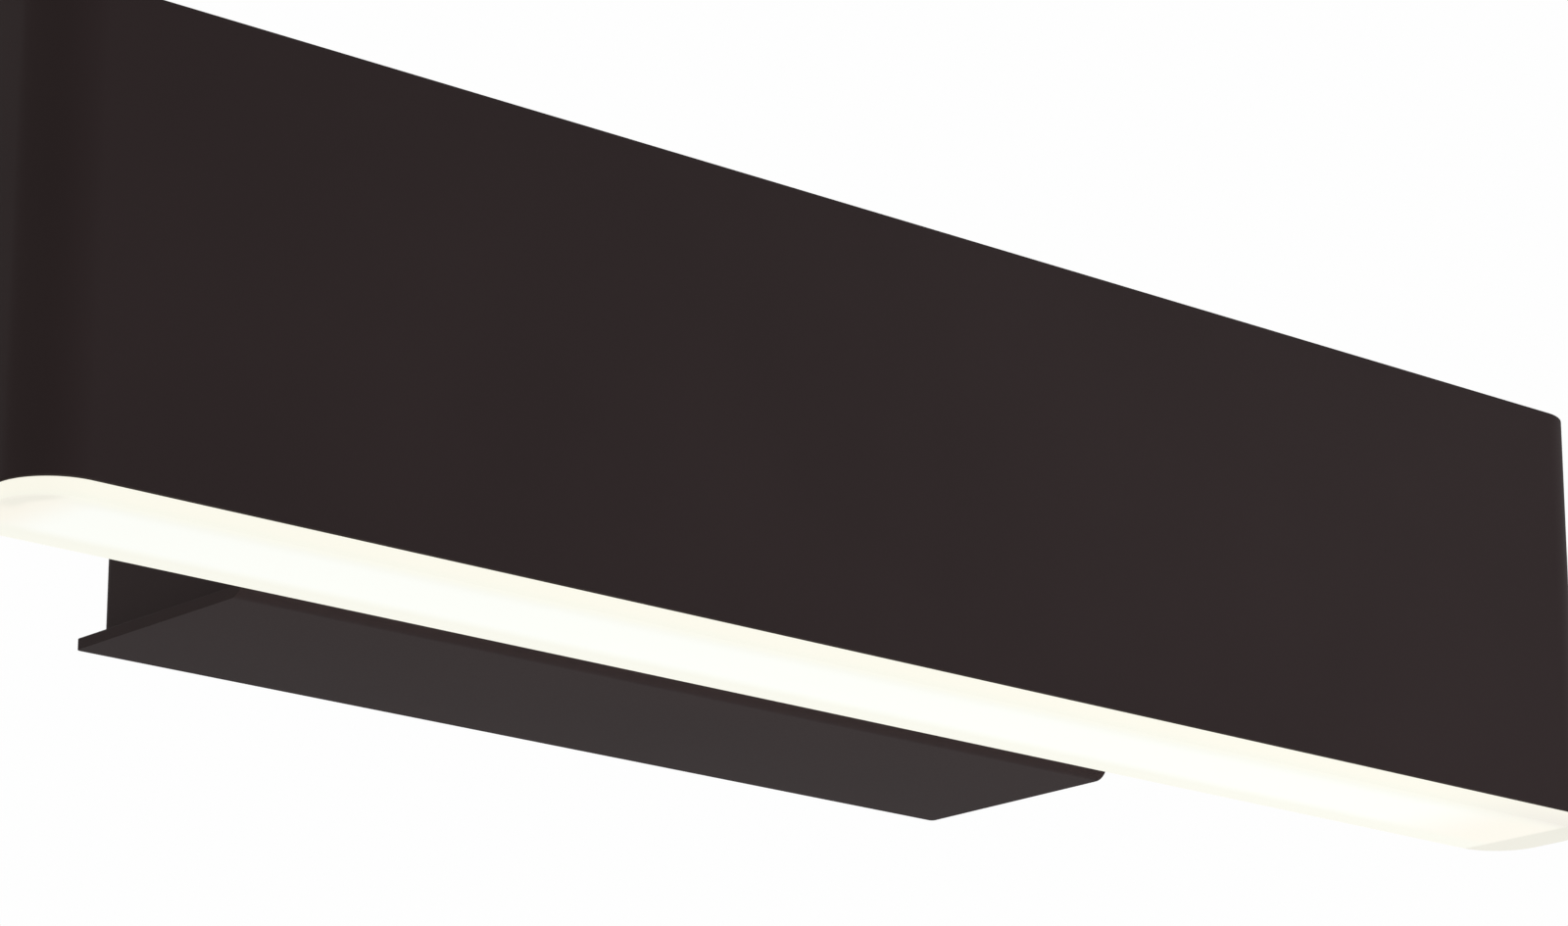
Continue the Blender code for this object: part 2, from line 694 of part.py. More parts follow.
def led_board(group):
    half = (BOARD_LENGTH / 2, BOARD_WIDTH / 2)
    low = (-half[0], HEAD_MIDDLE - half[1], BOARD_BOTTOM)
    high = (half[0], HEAD_MIDDLE + half[1], BOARD_TOP)
    board = piece("led_board", mesh_of("led_board", lambda bm: box(bm, low, high)), "white_coat", group)

    def packages(bm):
        for i in range(LED_COUNT):
            x = (i - (LED_COUNT - 1) / 2) * LED_PITCH
            start = (x - LED_SIZE / 2, HEAD_MIDDLE - LED_SIZE / 2, BOARD_BOTTOM - LED_HEIGHT)
            end = (x + LED_SIZE / 2, HEAD_MIDDLE + LED_SIZE / 2, BOARD_BOTTOM + JOIN_OVERLAP)
            box(bm, start, end)

    def lead_hole(bm):
        place = (LEAD_HOLE_X, HEAD_MIDDLE)
        rod(bm, LEAD_HOLE_RADIUS, BOARD_BOTTOM - CUT_OVERRUN, BOARD_TOP + CUT_OVERRUN, "Z", place)

    join(board, packages)
    cut(board, screw_holes(M3_RADIUS, BOARD_SCREW_PLACES, BOARD_BOTTOM, BOARD_TOP, "Z"), lead_hole)
    screw = pan_screw(M3_RADIUS, M3_HEAD_RADIUS, M3_HEAD_HEIGHT, BOARD_SCREW_LENGTH)
    for word, place in zip(("left", "middle", "right"), BOARD_SCREW_PLACES):
        at = (*place, BOARD_BOTTOM - TOUCH_GAP)
        piece("board_screw_" + word, screw, "zinc", group, at, "down")


def reflector(group):
    length = HEAD_LENGTH - 2 * (HEAD_WALL + REFLECTOR_END_GAP)
    width = HEAD_DEPTH - 2 * (HEAD_WALL + REFLECTOR_SIDE_GAP)

    def outline(inset):
        size = (length - 2 * inset, width - 2 * inset)
        corner = REFLECTOR_CORNER - inset * CORNER_INSET_SHARE
        return centred_rectangle(*size, corner, (0, HEAD_MIDDLE), BEND_STEPS)

    low = PLUG_TOP + TOUCH_GAP
    high = SHELF_BOTTOM - TOUCH_GAP
    rings = [
        (outline(0), low),
        (outline(REFLECTOR_SLOPE), high),
        (outline(REFLECTOR_SLOPE + REFLECTOR_WALL), high),
        (outline(REFLECTOR_WALL), low),
    ]
    piece("reflector", mesh_of("reflector", lambda bm: loft(bm, rings, looped=True)), "white_plastic", group)


def stems(group):
    bore = NIPPLE_RADIUS + HOLE_CLEARANCE
    stem = tube_mesh("stem", STEM_RADIUS, bore, STEM_LENGTH, STEM_EDGE)
    nipple = tube_mesh("nipple", NIPPLE_RADIUS, NIPPLE_BORE_RADIUS, NIPPLE_BACK - NIPPLE_FRONT, NIPPLE_EDGE)
    washer = tube_mesh("washer", WASHER_RADIUS, bore, WASHER_THICKNESS)
    nut = nut_mesh()
    for word, x in (("left", -STEM_X), ("right", STEM_X)):
        piece("stem_" + word, stem, "powder_coat", group, (x, HEAD_BACK + TOUCH_GAP, 0), "back")
        piece("nipple_" + word, nipple, "zinc", group, (x, NIPPLE_FRONT, 0), "back")
        piece("head_washer_" + word, washer, "zinc", group, (x, HEAD_SEAT, 0), "front")
        piece("head_nut_" + word, nut, "zinc", group, (x, HEAD_SEAT - NUT_OFFSET, 0), "front")
        piece("canopy_washer_" + word, washer, "zinc", group, (x, CANOPY_SEAT, 0), "back")
        piece("canopy_nut_" + word, nut, "zinc", group, (x, CANOPY_SEAT + NUT_OFFSET, 0), "back")


# Canopy


def cover_corner(side):
    """What rounds one back corner of the cover's underside and top, seen from above."""
    x = side * COVER_WIDTH / 2
    y = -TOUCH_GAP
    out = side * CUT_OVERRUN
    start, end = (math.pi / 2, 0) if side > 0 else (math.pi / 2, math.pi)
    curve = arc((x - side * COVER_CORNER, y - COVER_CORNER), COVER_CORNER, start, end, BEND_STEPS)
    outline = curve + [(x + out, y - COVER_CORNER), (x + out, y + CUT_OVERRUN)]
    outline.append((x - side * COVER_CORNER, y + CUT_OVERRUN))
    return lambda bm: prism(bm, outline, -COVER_TOP - CUT_OVERRUN, COVER_TOP + CUT_OVERRUN)


def cover_hook(side):
    x = side * COVER_SCREW_SPACING / 2
    back = TAB_FRONT - TOUCH_GAP
    front = back - HOOK_THICKNESS
    foot = -COVER_TOP + COVER_SHEET - JOIN_OVERLAP
    under = -BRACKET_TOP + BRACKET_SHEET + TOUCH_GAP
    top = under + HOOK_THICKNESS
    tip = TAB_FRONT + HOOK_REACH
    outline = [(front, foot), (back, foot), (back, under), (tip, under), (tip, top), (front, top)]
    return lambda bm: prism(bm, outline, x - HOOK_WIDTH / 2, x + HOOK_WIDTH / 2, "X")


def canopy_cover(group):
    section = folded_channel(-TOUCH_GAP, COVER_FRONT, -COVER_TOP, COVER_TOP, COVER_SHEET, COVER_BEND)
    mesh = mesh_of("canopy_cover", lambda bm: prism(bm, section, -COVER_WIDTH / 2, COVER_WIDTH / 2, "X"))
    cover = piece("canopy_cover", mesh, "powder_coat", group)
    places = [(side * COVER_SCREW_SPACING / 2, -COVER_SCREW_SETBACK) for side in (-1, 1)]
    join(cover, cover_hook(-1), cover_hook(1))
    cut(
        cover,
        cover_corner(-1),
        cover_corner(1),
        nipple_holes(COVER_FRONT, COVER_INSIDE),
        *[sink_cutter(place, COVER_TOP, COVER_TOP - COVER_SHEET) for place in places],
    )
    screw = sunk_screw(SINK_SCREW_LENGTH)
    for word, place in zip(("left", "right"), places):
        piece("cover_screw_" + word, screw, "blackened", group, (*place, COVER_TOP), "up")


def bracket_tab(side, level):
    """One tab folded in from an end of the bracket, at its top or its bottom."""
    outer = side * (BRACKET_END - BRACKET_SHEET / 2)
    inner = side * (BRACKET_END - BRACKET_SHEET - TAB_LENGTH)
    outside = level * BRACKET_TOP
    inside = level * (BRACKET_TOP - BRACKET_SHEET)
    low = (min(outer, inner), TAB_FRONT, min(outside, inside))
    high = (max(outer, inner), TAB_FRONT + TAB_DEPTH, max(outside, inside))
    return lambda bm: box(bm, low, high)


def wall_bracket(group):
    front = COVER_INSIDE + BRACKET_FRONT_GAP
    plan = flipped(folded_channel(front, 0, -BRACKET_END, BRACKET_END, BRACKET_SHEET, BRACKET_BEND))
    mesh = mesh_of("wall_bracket", lambda bm: prism(bm, plan, -BRACKET_TOP, BRACKET_TOP))
    bracket = piece("wall_bracket", mesh, "powder_coat", group)
    through = (PLATE_FRONT - CUT_OVERRUN, CUT_OVERRUN)

    def slots(bm):
        for side in (-1, 1):
            outline = stadium(WALL_SLOT_LENGTH, WALL_SLOT_WIDTH, (side * WALL_SLOT_SPACING / 2, 0))
            prism(bm, outline, *through, "Y")

    def entry(bm):
        rod(bm, ENTRY_RADIUS, *through, "Y", (ENTRY_X, ENTRY_Z))

    tab_places = [(side * COVER_SCREW_SPACING / 2, -COVER_SCREW_SETBACK) for side in (-1, 1)]
    m3_places = [(-EAR_X, DRIVER_Z), (EAR_X, DRIVER_Z), (TERMINAL_SCREW_X, TERMINAL_Z)]
    join(bracket, *[bracket_tab(side, level) for side in (-1, 1) for level in (-1, 1)])
    cut(
        bracket,
        slots,
        entry,
        screw_holes(M3_RADIUS, tab_places, BRACKET_TOP - BRACKET_SHEET, BRACKET_TOP, "Z"),
        screw_holes(M3_RADIUS, m3_places, PLATE_FRONT, 0, "Y"),
        screw_holes(M4_RADIUS, [(EARTH_X, EARTH_Z)], PLATE_FRONT, 0, "Y"),
    )


def cable_grommet(group):
    centre = (ENTRY_X, ENTRY_Z)
    front = SEAT - GROMMET_FLANGE
    flange = circle(GROMMET_FLANGE_RADIUS, ROUND_SIDES, centre)
    neck = circle(ENTRY_RADIUS - HOLE_CLEARANCE, ROUND_SIDES, centre)
    bore = circle(GROMMET_BORE_RADIUS, ROUND_SIDES, centre)
    back = -GROMMET_SETBACK
    rings = [(flange, front), (flange, SEAT), (neck, SEAT), (neck, back), (bore, back), (bore, front)]
    mesh = mesh_of("cable_grommet", lambda bm: loft(bm, rings, "Y", looped=True))
    piece("cable_grommet", mesh, "black_rubber", group)


def plate_screw(name, x, z, seat, sizes, group):
    """A pan head screw seated at y = seat, long enough to end inside the back plate."""
    mesh = pan_screw(*sizes, -seat - TOUCH_GAP)
    piece(name, mesh, "zinc", group, (x, seat, z), "front")


def terminal_block(group):
    length = TERMINAL_WAYS * TERMINAL_PITCH + 2 * TERMINAL_END
    centre = (TERMINAL_X, TERMINAL_Z)

    def outline(inset):
        size = (length - 2 * inset, TERMINAL_HEIGHT - 2 * inset)
        return centred_rectangle(*size, TERMINAL_EDGE, centre, SMALL_CORNER_STEPS)

    rings = [
        (outline(0), SEAT),
        (outline(0), TERMINAL_FRONT + TERMINAL_EDGE),
        (outline(TERMINAL_EDGE), TERMINAL_FRONT),
    ]
    mesh = mesh_of("terminal_block", lambda bm: loft(bm, rings, "Y"))
    block = piece("terminal_block", mesh, "natural_plastic", group)
    bottom, top = TERMINAL_BOTTOM, TERMINAL_BOTTOM + TERMINAL_HEIGHT

    def entries(bm):
        for x in TERMINAL_WAY_X:
            place = (x, TERMINAL_ENTRY_Y)
            inner = (bottom + TERMINAL_ENTRY_DEPTH, top - TERMINAL_ENTRY_DEPTH)
            rod(bm, TERMINAL_ENTRY_RADIUS, bottom - CUT_OVERRUN, inner[0], "Z", place, HOLE_SIDES)
            rod(bm, TERMINAL_ENTRY_RADIUS, inner[1], top + CUT_OVERRUN, "Z", place, HOLE_SIDES)

    def wells(bm):
        for place in CLAMP_PLACES:
            reach = TERMINAL_FRONT + TERMINAL_WELL_DEPTH
            rod(bm, TERMINAL_WELL_RADIUS, TERMINAL_FRONT - CUT_OVERRUN, reach, "Y", place, HOLE_SIDES)

    cut(block, entries)
    helper(block, "wells", "DIFFERENCE", wells)
    fixing = (TERMINAL_SCREW_X, TERMINAL_Z)
    helper(block, "fixing", "DIFFERENCE", screw_holes(M3_RADIUS, [fixing], TERMINAL_FRONT, SEAT, "Y"))
    clamp = clamp_screw()
    for number, (x, z) in enumerate(CLAMP_PLACES, 1):
        at = (x, TERMINAL_FRONT + CLAMP_SCREW_SINK, z)
        piece("clamp_screw_" + str(number), clamp, "brass", group, at, "front")
    plate_screw("terminal_screw", *fixing, TERMINAL_FRONT - TOUCH_GAP, M3_PAN, group)


def earth_tag(group):
    half = TAG_NECK_WIDTH / 2
    lean = math.asin(half / TAG_RADIUS)
    down = 3 * math.pi / 2
    centre = (EARTH_X, EARTH_Z)
    neck = EARTH_Z - TAG_NECK_LENGTH
    outline = arc(centre, TAG_RADIUS, down + lean - math.tau, down - lean, ROUND_SIDES)
    outline += [(EARTH_X - half, neck), (EARTH_X + half, neck)]
    mesh = mesh_of("earth_tag", lambda bm: prism(bm, outline, TAG_FRONT, SEAT, "Y"))
    tag = piece("earth_tag", mesh, "zinc", group)
    barrel_place = (EARTH_X, SEAT - TAG_BARREL_RADIUS)

    def barrel(bm):
        rod(bm, TAG_BARREL_RADIUS, TAG_BARREL_END, neck + TAG_BARREL_RADIUS, "Z", barrel_place, SCREW_SIDES)

    join(tag, barrel)
    cut(tag, screw_holes(M4_RADIUS, [centre], TAG_FRONT, SEAT, "Y"))
    plate_screw("earth_screw", EARTH_X, EARTH_Z, TAG_FRONT - TOUCH_GAP, M4_PAN, group)


def driver_outline(inset):
    size = (DRIVER_LENGTH - 2 * inset, DRIVER_HEIGHT - 2 * inset)
    corner = DRIVER_CORNER - inset * CORNER_INSET_SHARE
    return centred_rectangle(*size, corner, (0, DRIVER_Z), BEND_STEPS)


def driver_case(group):
    inner = driver_outline(DRIVER_WALL)
    rings = [
        (driver_outline(0), SEAT),
        (driver_outline(0), DRIVER_FRONT),
        (inner, DRIVER_FRONT),
        (inner, SEAT - DRIVER_WALL),
    ]
    mesh = mesh_of("driver_case", lambda bm: loft(bm, rings, "Y"))
    case = piece("driver_case", mesh, "white_plastic", group)

    def ears(bm):
        for side in (-1, 1):
            root = side * (DRIVER_LENGTH / 2 - DRIVER_WALL / 2)
            tip = side * (DRIVER_LENGTH / 2 + EAR_LENGTH)
            low = (min(root, tip), SEAT - EAR_THICKNESS, DRIVER_Z - EAR_WIDTH / 2)
            high = (max(root, tip), SEAT, DRIVER_Z + EAR_WIDTH / 2)
            box(bm, low, high)

    def windows(bm):
        for side in (-1, 1):
            for z in LEAD_WINDOW_ZS:
                outside = side * (DRIVER_LENGTH / 2 + CUT_OVERRUN)
                inside = side * (DRIVER_LENGTH / 2 - DRIVER_WALL - CUT_OVERRUN)
                rod(bm, LEAD_WINDOW_RADIUS, inside, outside, "X", (LEAD_WINDOW_Y, z), HOLE_SIDES)

    join(case, ears)
    places = [(-EAR_X, DRIVER_Z), (EAR_X, DRIVER_Z)]
    cut(case, windows, screw_holes(M3_RADIUS, places, SEAT - EAR_THICKNESS, SEAT, "Y"))
    for word, (x, z) in zip(("left", "right"), places):
        plate_screw("driver_screw_" + word, x, z, SEAT - EAR_THICKNESS - TOUCH_GAP, M3_PAN, group)


def driver_lid(group):
    back = DRIVER_FRONT - TOUCH_GAP
    step = driver_outline(DRIVER_WALL + HOLE_CLEARANCE)
    rings = [
        (driver_outline(LID_EDGE), back - LID_THICKNESS),
        (driver_outline(0), back - LID_THICKNESS + LID_EDGE),
        (driver_outline(0), back),
        (step, back),
        (step, back + LID_STEP),
    ]
    piece("driver_lid", mesh_of("driver_lid", lambda bm: loft(bm, rings, "Y")), "white_plastic", group)


def driver_board(group):
    inset = DRIVER_WALL + PCB_FIT
    size = (DRIVER_LENGTH - 2 * inset, DRIVER_HEIGHT - 2 * inset)
    outline = centred_rectangle(*size, PCB_CORNER, (0, DRIVER_Z), SMALL_CORNER_STEPS)
    back = SEAT - DRIVER_WALL - PCB_STANDOFF
    front = back - PCB_THICKNESS
    mesh = mesh_of("driver_board", lambda bm: prism(bm, outline, front, back, "Y"))
    board = piece("driver_board", mesh, "circuit_green", group)

    def components(bm):
        """In one row with equal gaps between them and at both ends."""
        lengths = [sizes[0] if len(sizes) > 2 else 2 * sizes[0] for sizes in COMPONENTS]
        gap = (size[0] - sum(lengths)) / (len(lengths) + 1)
        x = -size[0] / 2
        for sizes, length in zip(COMPONENTS, lengths):
            x += gap + length / 2
            top, foot = front - sizes[-1], front + JOIN_OVERLAP
            if len(sizes) > 2:
                reach = sizes[1] / 2
                box(bm, (x - length / 2, top, DRIVER_Z - reach), (x + length / 2, foot, DRIVER_Z + reach))
            else:
                rod(bm, sizes[0], top, foot, "Y", (x, DRIVER_Z), SCREW_SIDES)
            x += length / 2

    join(board, components)


# Wires, each held from end to end inside the lamp


def window_lead(side, window):
    """The straight start of a wire that leaves one end of the driver's case through a window."""
    end = side * DRIVER_LENGTH / 2
    offsets = (-DRIVER_WALL, CUT_OVERRUN, WIRE_BEND)
    return [(end + side * offset, LEAD_WINDOW_Y, window) for offset in offsets]


def terminal_lead(x, drop):
    """The straight start of a wire that leaves one of the terminal block's lower mouths."""
    offsets = (WIRE_BEND, 0, -drop / 2)
    return [(x, TERMINAL_ENTRY_Y, TERMINAL_BOTTOM + offset) for offset in offsets]


def lamp_wires(group):
    """From the driver's left end through the left nipple to the board: one each side of its middle."""
    end = -DRIVER_LENGTH / 2
    for name, finish, way, window, swing, reach in (
        ("lamp_wire_plus", "red_wire", 1, LEAD_WINDOW_ZS[1], LAMP_SWING_INNER, WIRE_BEND * 3 / 2),
        ("lamp_wire_minus", "black_wire", -1, LEAD_WINDOW_ZS[0], LAMP_SWING_OUTER, WIRE_BEND * 3 / 4),
    ):
        bore_x = -STEM_X + way * WIRE_SPREAD
        down_y = HEAD_MIDDLE - way * WIRE_SPREAD
        points = window_lead(-1, window)
        points += [
            (end - swing, LEAD_WINDOW_Y - WIRE_BEND / 2, window + WIRE_BEND / 2),
            (end - swing - WIRE_BEND, LEAD_WINDOW_Y - swing / 2 - WIRE_BEND, window / 3),
            (bore_x, NIPPLE_BACK + 2 * WIRE_BEND, 0),
            (bore_x, NIPPLE_BACK, 0),
            (bore_x, HEAD_BACK, 0),
            (bore_x, NIPPLE_FRONT, 0),
            (bore_x, NIPPLE_FRONT - reach, 0),
            ((bore_x + LEAD_HOLE_X) / 2, NIPPLE_FRONT - reach, SHELF_BOTTOM / 3),
            (LEAD_HOLE_X, down_y, SHELF_BOTTOM * 2 / 3),
            (LEAD_HOLE_X, down_y, BOARD_TOP),
            (LEAD_HOLE_X, down_y, BOARD_BOTTOM),
            (LEAD_HOLE_X, down_y, BOARD_BOTTOM - 2 * WIRE_RADIUS),
            (LEAD_HOLE_X, down_y - way * WIRE_BEND, BOARD_BOTTOM - WIRE_RADIUS - TOUCH_GAP),
        ]
        wire(name, points, finish, group)


def mains_wires(group):
    """From the terminal block's lower mouths round to the driver's right end, one outside the other."""
    low, high = LEAD_WINDOW_ZS
    for name, finish, way_x, window, swing, drop in (
        ("live_wire", "brown_wire", TERMINAL_WAY_X[0], high, MAINS_SWING_INNER, MAINS_DROP_INNER),
        ("neutral_wire", "blue_wire", TERMINAL_WAY_X[1], low, MAINS_SWING_OUTER, MAINS_DROP_OUTER),
    ):
        level = TERMINAL_BOTTOM - drop
        turn_x = DRIVER_LENGTH / 2 + swing
        points = terminal_lead(way_x, drop)
        points += [
            (way_x + WIRE_BEND * 3 / 2, TERMINAL_ENTRY_Y - WIRE_BEND / 2, level),
            (DRIVER_LENGTH / 2, LEAD_WINDOW_Y, level),
            (turn_x, LEAD_WINDOW_Y, level - WIRE_BEND),
            (turn_x, LEAD_WINDOW_Y, window),
        ]
        points += reversed(window_lead(1, window))
        wire(name, points, finish, group)


def earth_wire(group):
    way_x = TERMINAL_WAY_X[-1]
    barrel_y = SEAT - TAG_BARREL_RADIUS
    foot = TAG_BARREL_END - TOUCH_GAP
    points = terminal_lead(way_x, WIRE_BEND)
    points += [
        (way_x + WIRE_BEND, TERMINAL_ENTRY_Y, foot - WIRE_BEND),
        (EARTH_X - WIRE_BEND, barrel_y - WIRE_RADIUS, foot - WIRE_BEND),
        (EARTH_X, barrel_y, foot - WIRE_BEND),
        (EARTH_X, barrel_y, foot),
    ]
    wire("earth_wire", points, "earth_wire", group)


def main():
    clear_scene()
    head = group_empty("head")
    canopy = group_empty("canopy")
    for build in (head_sleeve, diffuser, head_top_cap, inner_frame, led_board, reflector, stems, lamp_wires):
        build(head)
    for build in (
        canopy_cover,
        wall_bracket,
        cable_grommet,
        terminal_block,
        earth_tag,
        driver_case,
        driver_lid,
        driver_board,
        mains_wires,
        earth_wire,
    ):
        build(canopy)


main()
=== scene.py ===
"""Looks of the led wall light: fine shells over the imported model, its finishes, studio and camera."""

import json
import math

import bmesh
import bpy
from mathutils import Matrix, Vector


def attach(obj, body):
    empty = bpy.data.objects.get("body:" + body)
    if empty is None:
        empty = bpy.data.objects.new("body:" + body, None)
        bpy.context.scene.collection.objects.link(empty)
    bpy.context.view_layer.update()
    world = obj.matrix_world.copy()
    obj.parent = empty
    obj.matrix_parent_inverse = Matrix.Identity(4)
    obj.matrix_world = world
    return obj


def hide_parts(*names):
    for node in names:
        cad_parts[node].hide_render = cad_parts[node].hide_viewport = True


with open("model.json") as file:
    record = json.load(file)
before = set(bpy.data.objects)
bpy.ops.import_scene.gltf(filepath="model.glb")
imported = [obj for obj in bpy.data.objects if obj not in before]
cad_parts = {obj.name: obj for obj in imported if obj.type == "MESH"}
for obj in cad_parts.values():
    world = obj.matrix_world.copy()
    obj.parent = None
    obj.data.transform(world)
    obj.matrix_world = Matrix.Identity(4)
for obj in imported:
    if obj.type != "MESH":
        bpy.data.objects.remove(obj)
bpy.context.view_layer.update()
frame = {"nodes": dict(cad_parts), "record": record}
nodes = frame["nodes"]

# Sizes and places of the fine shells, in metres; those called steps or share have no unit
CLEAR = 0.0003
OVERRUN = 0.001
SHEET = 0.002
HEAD_LENGTH = 0.360
HEAD_DEPTH = 0.0265
HEAD_FRONT = -0.106
HEAD_BACK = HEAD_FRONT + HEAD_DEPTH
HEAD_MIDDLE = (HEAD_FRONT + HEAD_BACK) / 2
HEAD_TOP = 0.040
HEAD_CORNER = 0.010
HEAD_WALL = 0.002
SLEEVE_EDGE = 0.0002
DIFFUSER_PROUD = 0.0032
DIFFUSER_BOTTOM = -HEAD_TOP - DIFFUSER_PROUD
DIFFUSER_PLUG = 0.003
DIFFUSER_EDGE = 0.0003
DIFFUSER_EDGE_STEPS = 4
CAP_RECESS = 0.0015
CAP_TOP = HEAD_TOP - CAP_RECESS
CAP_THICKNESS = 0.002
CAP_EDGE = 0.0001
CAP_SCREW_X = 0.120
STEM_X = 0.060
STEM_RADIUS = 0.007
STEM_EDGE = 0.0004
NIPPLE_RADIUS = 0.005
NIPPLE_HOLE_RADIUS = NIPPLE_RADIUS + CLEAR
COVER_HALF = 0.102
COVER_FRONT = -0.0495
COVER_TOP = 0.0345
COVER_BEND = 0.003
COVER_CORNER = 0.001
COVER_EDGE = 0.00012
TAB_FRONT = -0.031
TAB_DEPTH = 0.012
TAB_LENGTH = 0.016
COVER_SCREW_X = 0.085
COVER_SCREW_Y = TAB_FRONT + TAB_DEPTH / 2
HOOK_WIDTH = 0.010
HOOK_REACH = 0.006
BRACKET_END_INSET = 0.005
BRACKET_HALF = COVER_HALF - BRACKET_END_INSET
BRACKET_TOP = COVER_TOP - SHEET - CLEAR
BRACKET_FRONT = -0.047
BRACKET_BEND = 0.003
BRACKET_EDGE = 0.0001
SLOT_X = 0.060
SLOT_LENGTH = 0.014
SLOT_WIDTH = 0.0052
ENTRY = (-0.028, 0.016)
ENTRY_RADIUS = 0.008
PLATE_SCREWS = [(-0.0525, -0.0205), (0.0525, -0.0205), (0.027, 0.017)]
EARTH_SCREW = (0.062, 0.020)
EARTH_HOLE_RADIUS = 0.0023
GROMMET_FLANGE_RADIUS = 0.010
GROMMET_FLANGE = 0.002
GROMMET_BORE_RADIUS = 0.0055
GROMMET_EDGE = 0.0004
SINK_RADIUS = 0.0028
SINK_HEIGHT = 0.0014
SHANK_RADIUS = 0.0015
SHANK_TIP = 0.0004
SINK_SCREW_LENGTH = 0.006
RECESS_LENGTH = 0.0014
RECESS_WIDTH = 0.0004
RECESS_DEPTH = 0.0008
RECESS_FOOT_SHARE = 0.6

# Which way each side lies along X
SIDES = {"left": -1, "right": 1}

# How finely round outlines are stepped, and the angles past which an edge is eased or kept sharp
CORNER_STEPS = 28
BEND_STEPS = 12
ROUND_SIDES = 48
QUARTER = math.pi / 2
EASED_ANGLE = math.radians(40)
DIFFUSER_SHARP_ANGLE = math.radians(50)
SCREW_SHARP_ANGLE = math.radians(30)


# Materials

# Where a two-tone colour leaves its first tone and reaches its second, on a scale of 0 to 1
TONE_START = 0.3
TONE_END = 0.7
# A higher scale gives a finer pattern
NOISE_DETAIL = 3.0
NOISE_ROUGHNESS = 0.5
DRIFT_SCALE = 25.0
GRAIN_SCALE = 900.0
GRAIN_DEPTH = 0.00002
GRAIN_STRENGTH = 0.35
STRIPE_SCALE = 220
STRIPE_ROUGHNESS = 0.45
DRAWN_SCALE_ALONG = 30
DRAWN_SCALE_ACROSS = 1500
DRAWN_ROUGHNESS = (0.28, 0.45)
DRAWN_DARK_SHARE = 0.88


def new_material(name):
    material = bpy.data.materials.new(name)
    material.use_nodes = True
    tree = material.node_tree
    return material, tree, tree.nodes["Principled BSDF"]


def link(tree, source, target):
    tree.links.new(source, target)


def object_place(tree):
    """The place on the object, in metres."""
    return tree.nodes.new("ShaderNodeTexCoord").outputs["Object"]


def object_noise(tree, scale):
    noise = tree.nodes.new("ShaderNodeTexNoise")
    noise.inputs["Scale"].default_value = scale
    noise.inputs["Detail"].default_value = NOISE_DETAIL
    noise.inputs["Roughness"].default_value = NOISE_ROUGHNESS
    link(tree, object_place(tree), noise.inputs["Vector"])
    return noise.outputs["Fac"]


def between(tree, value, low, high):
    """Maps a value from 0 to 1 onto low to high."""
    node = tree.nodes.new("ShaderNodeMapRange")
    node.inputs["To Min"].default_value = low
    node.inputs["To Max"].default_value = high
    link(tree, value, node.inputs["Value"])
    return node.outputs["Result"]


def two_tone(tree, value, first, second):
    ramp = tree.nodes.new("ShaderNodeValToRGB")
    ramp.color_ramp.elements[0].position = TONE_START
    ramp.color_ramp.elements[1].position = TONE_END
    ramp.color_ramp.elements[0].color = (*first, 1)
    ramp.color_ramp.elements[1].color = (*second, 1)
    link(tree, value, ramp.inputs["Fac"])
    return ramp.outputs["Color"]


def grained(name, colour, variation, roughness, metallic=0.0, grain=GRAIN_SCALE,
            depth=GRAIN_DEPTH, specular=0.5, ior=1.5):
    """A finish whose colour drifts a little, with a fine grain in its roughness and its surface."""
    material, tree, shader = new_material(name)
    light = tuple(min(1, c * (1 + variation)) for c in colour)
    dark = tuple(c * (1 - variation) for c in colour)
    link(tree, two_tone(tree, object_noise(tree, DRIFT_SCALE), dark, light), shader.inputs["Base Color"])
    fine = object_noise(tree, grain)
    link(tree, between(tree, fine, *roughness), shader.inputs["Roughness"])
    bump = tree.nodes.new("ShaderNodeBump")
    bump.inputs["Strength"].default_value = GRAIN_STRENGTH
    bump.inputs["Distance"].default_value = depth
    link(tree, fine, bump.inputs["Height"])
    link(tree, bump.outputs["Normal"], shader.inputs["Normal"])
    shader.inputs["Metallic"].default_value = metallic
    shader.inputs["Specular IOR Level"].default_value = specular
    shader.inputs["IOR"].default_value = ior
    return material


def striped_wire(name, first, second):
    """Wire insulation in two colours along its length."""
    material, tree, shader = new_material(name)
    wave = tree.nodes.new("ShaderNodeTexWave")
    wave.inputs["Scale"].default_value = STRIPE_SCALE
    link(tree, object_place(tree), wave.inputs["Vector"])
    link(tree, two_tone(tree, wave.outputs["Fac"], first, second), shader.inputs["Base Color"])
    shader.inputs["Roughness"].default_value = STRIPE_ROUGHNESS
    return material


def brushed(name, colour, axis):
    """Metal with drawn lines that run along one axis."""
    material, tree, shader = new_material(name)
    scales = [DRAWN_SCALE_ALONG if each == axis else DRAWN_SCALE_ACROSS for each in "XYZ"]
    mapping = tree.nodes.new("ShaderNodeMapping")
    mapping.inputs["Scale"].default_value = scales
    noise = tree.nodes.new("ShaderNodeTexNoise")
    noise.inputs["Scale"].default_value = 1.0
    link(tree, object_place(tree), mapping.inputs["Vector"])
    link(tree, mapping.outputs["Vector"], noise.inputs["Vector"])
    dark = tuple(c * DRAWN_DARK_SHARE for c in colour)
    link(tree, two_tone(tree, noise.outputs["Fac"], dark, colour), shader.inputs["Base Color"])
    link(tree, between(tree, noise.outputs["Fac"], *DRAWN_ROUGHNESS), shader.inputs["Roughness"])
    shader.inputs["Metallic"].default_value = 1.0
    return material


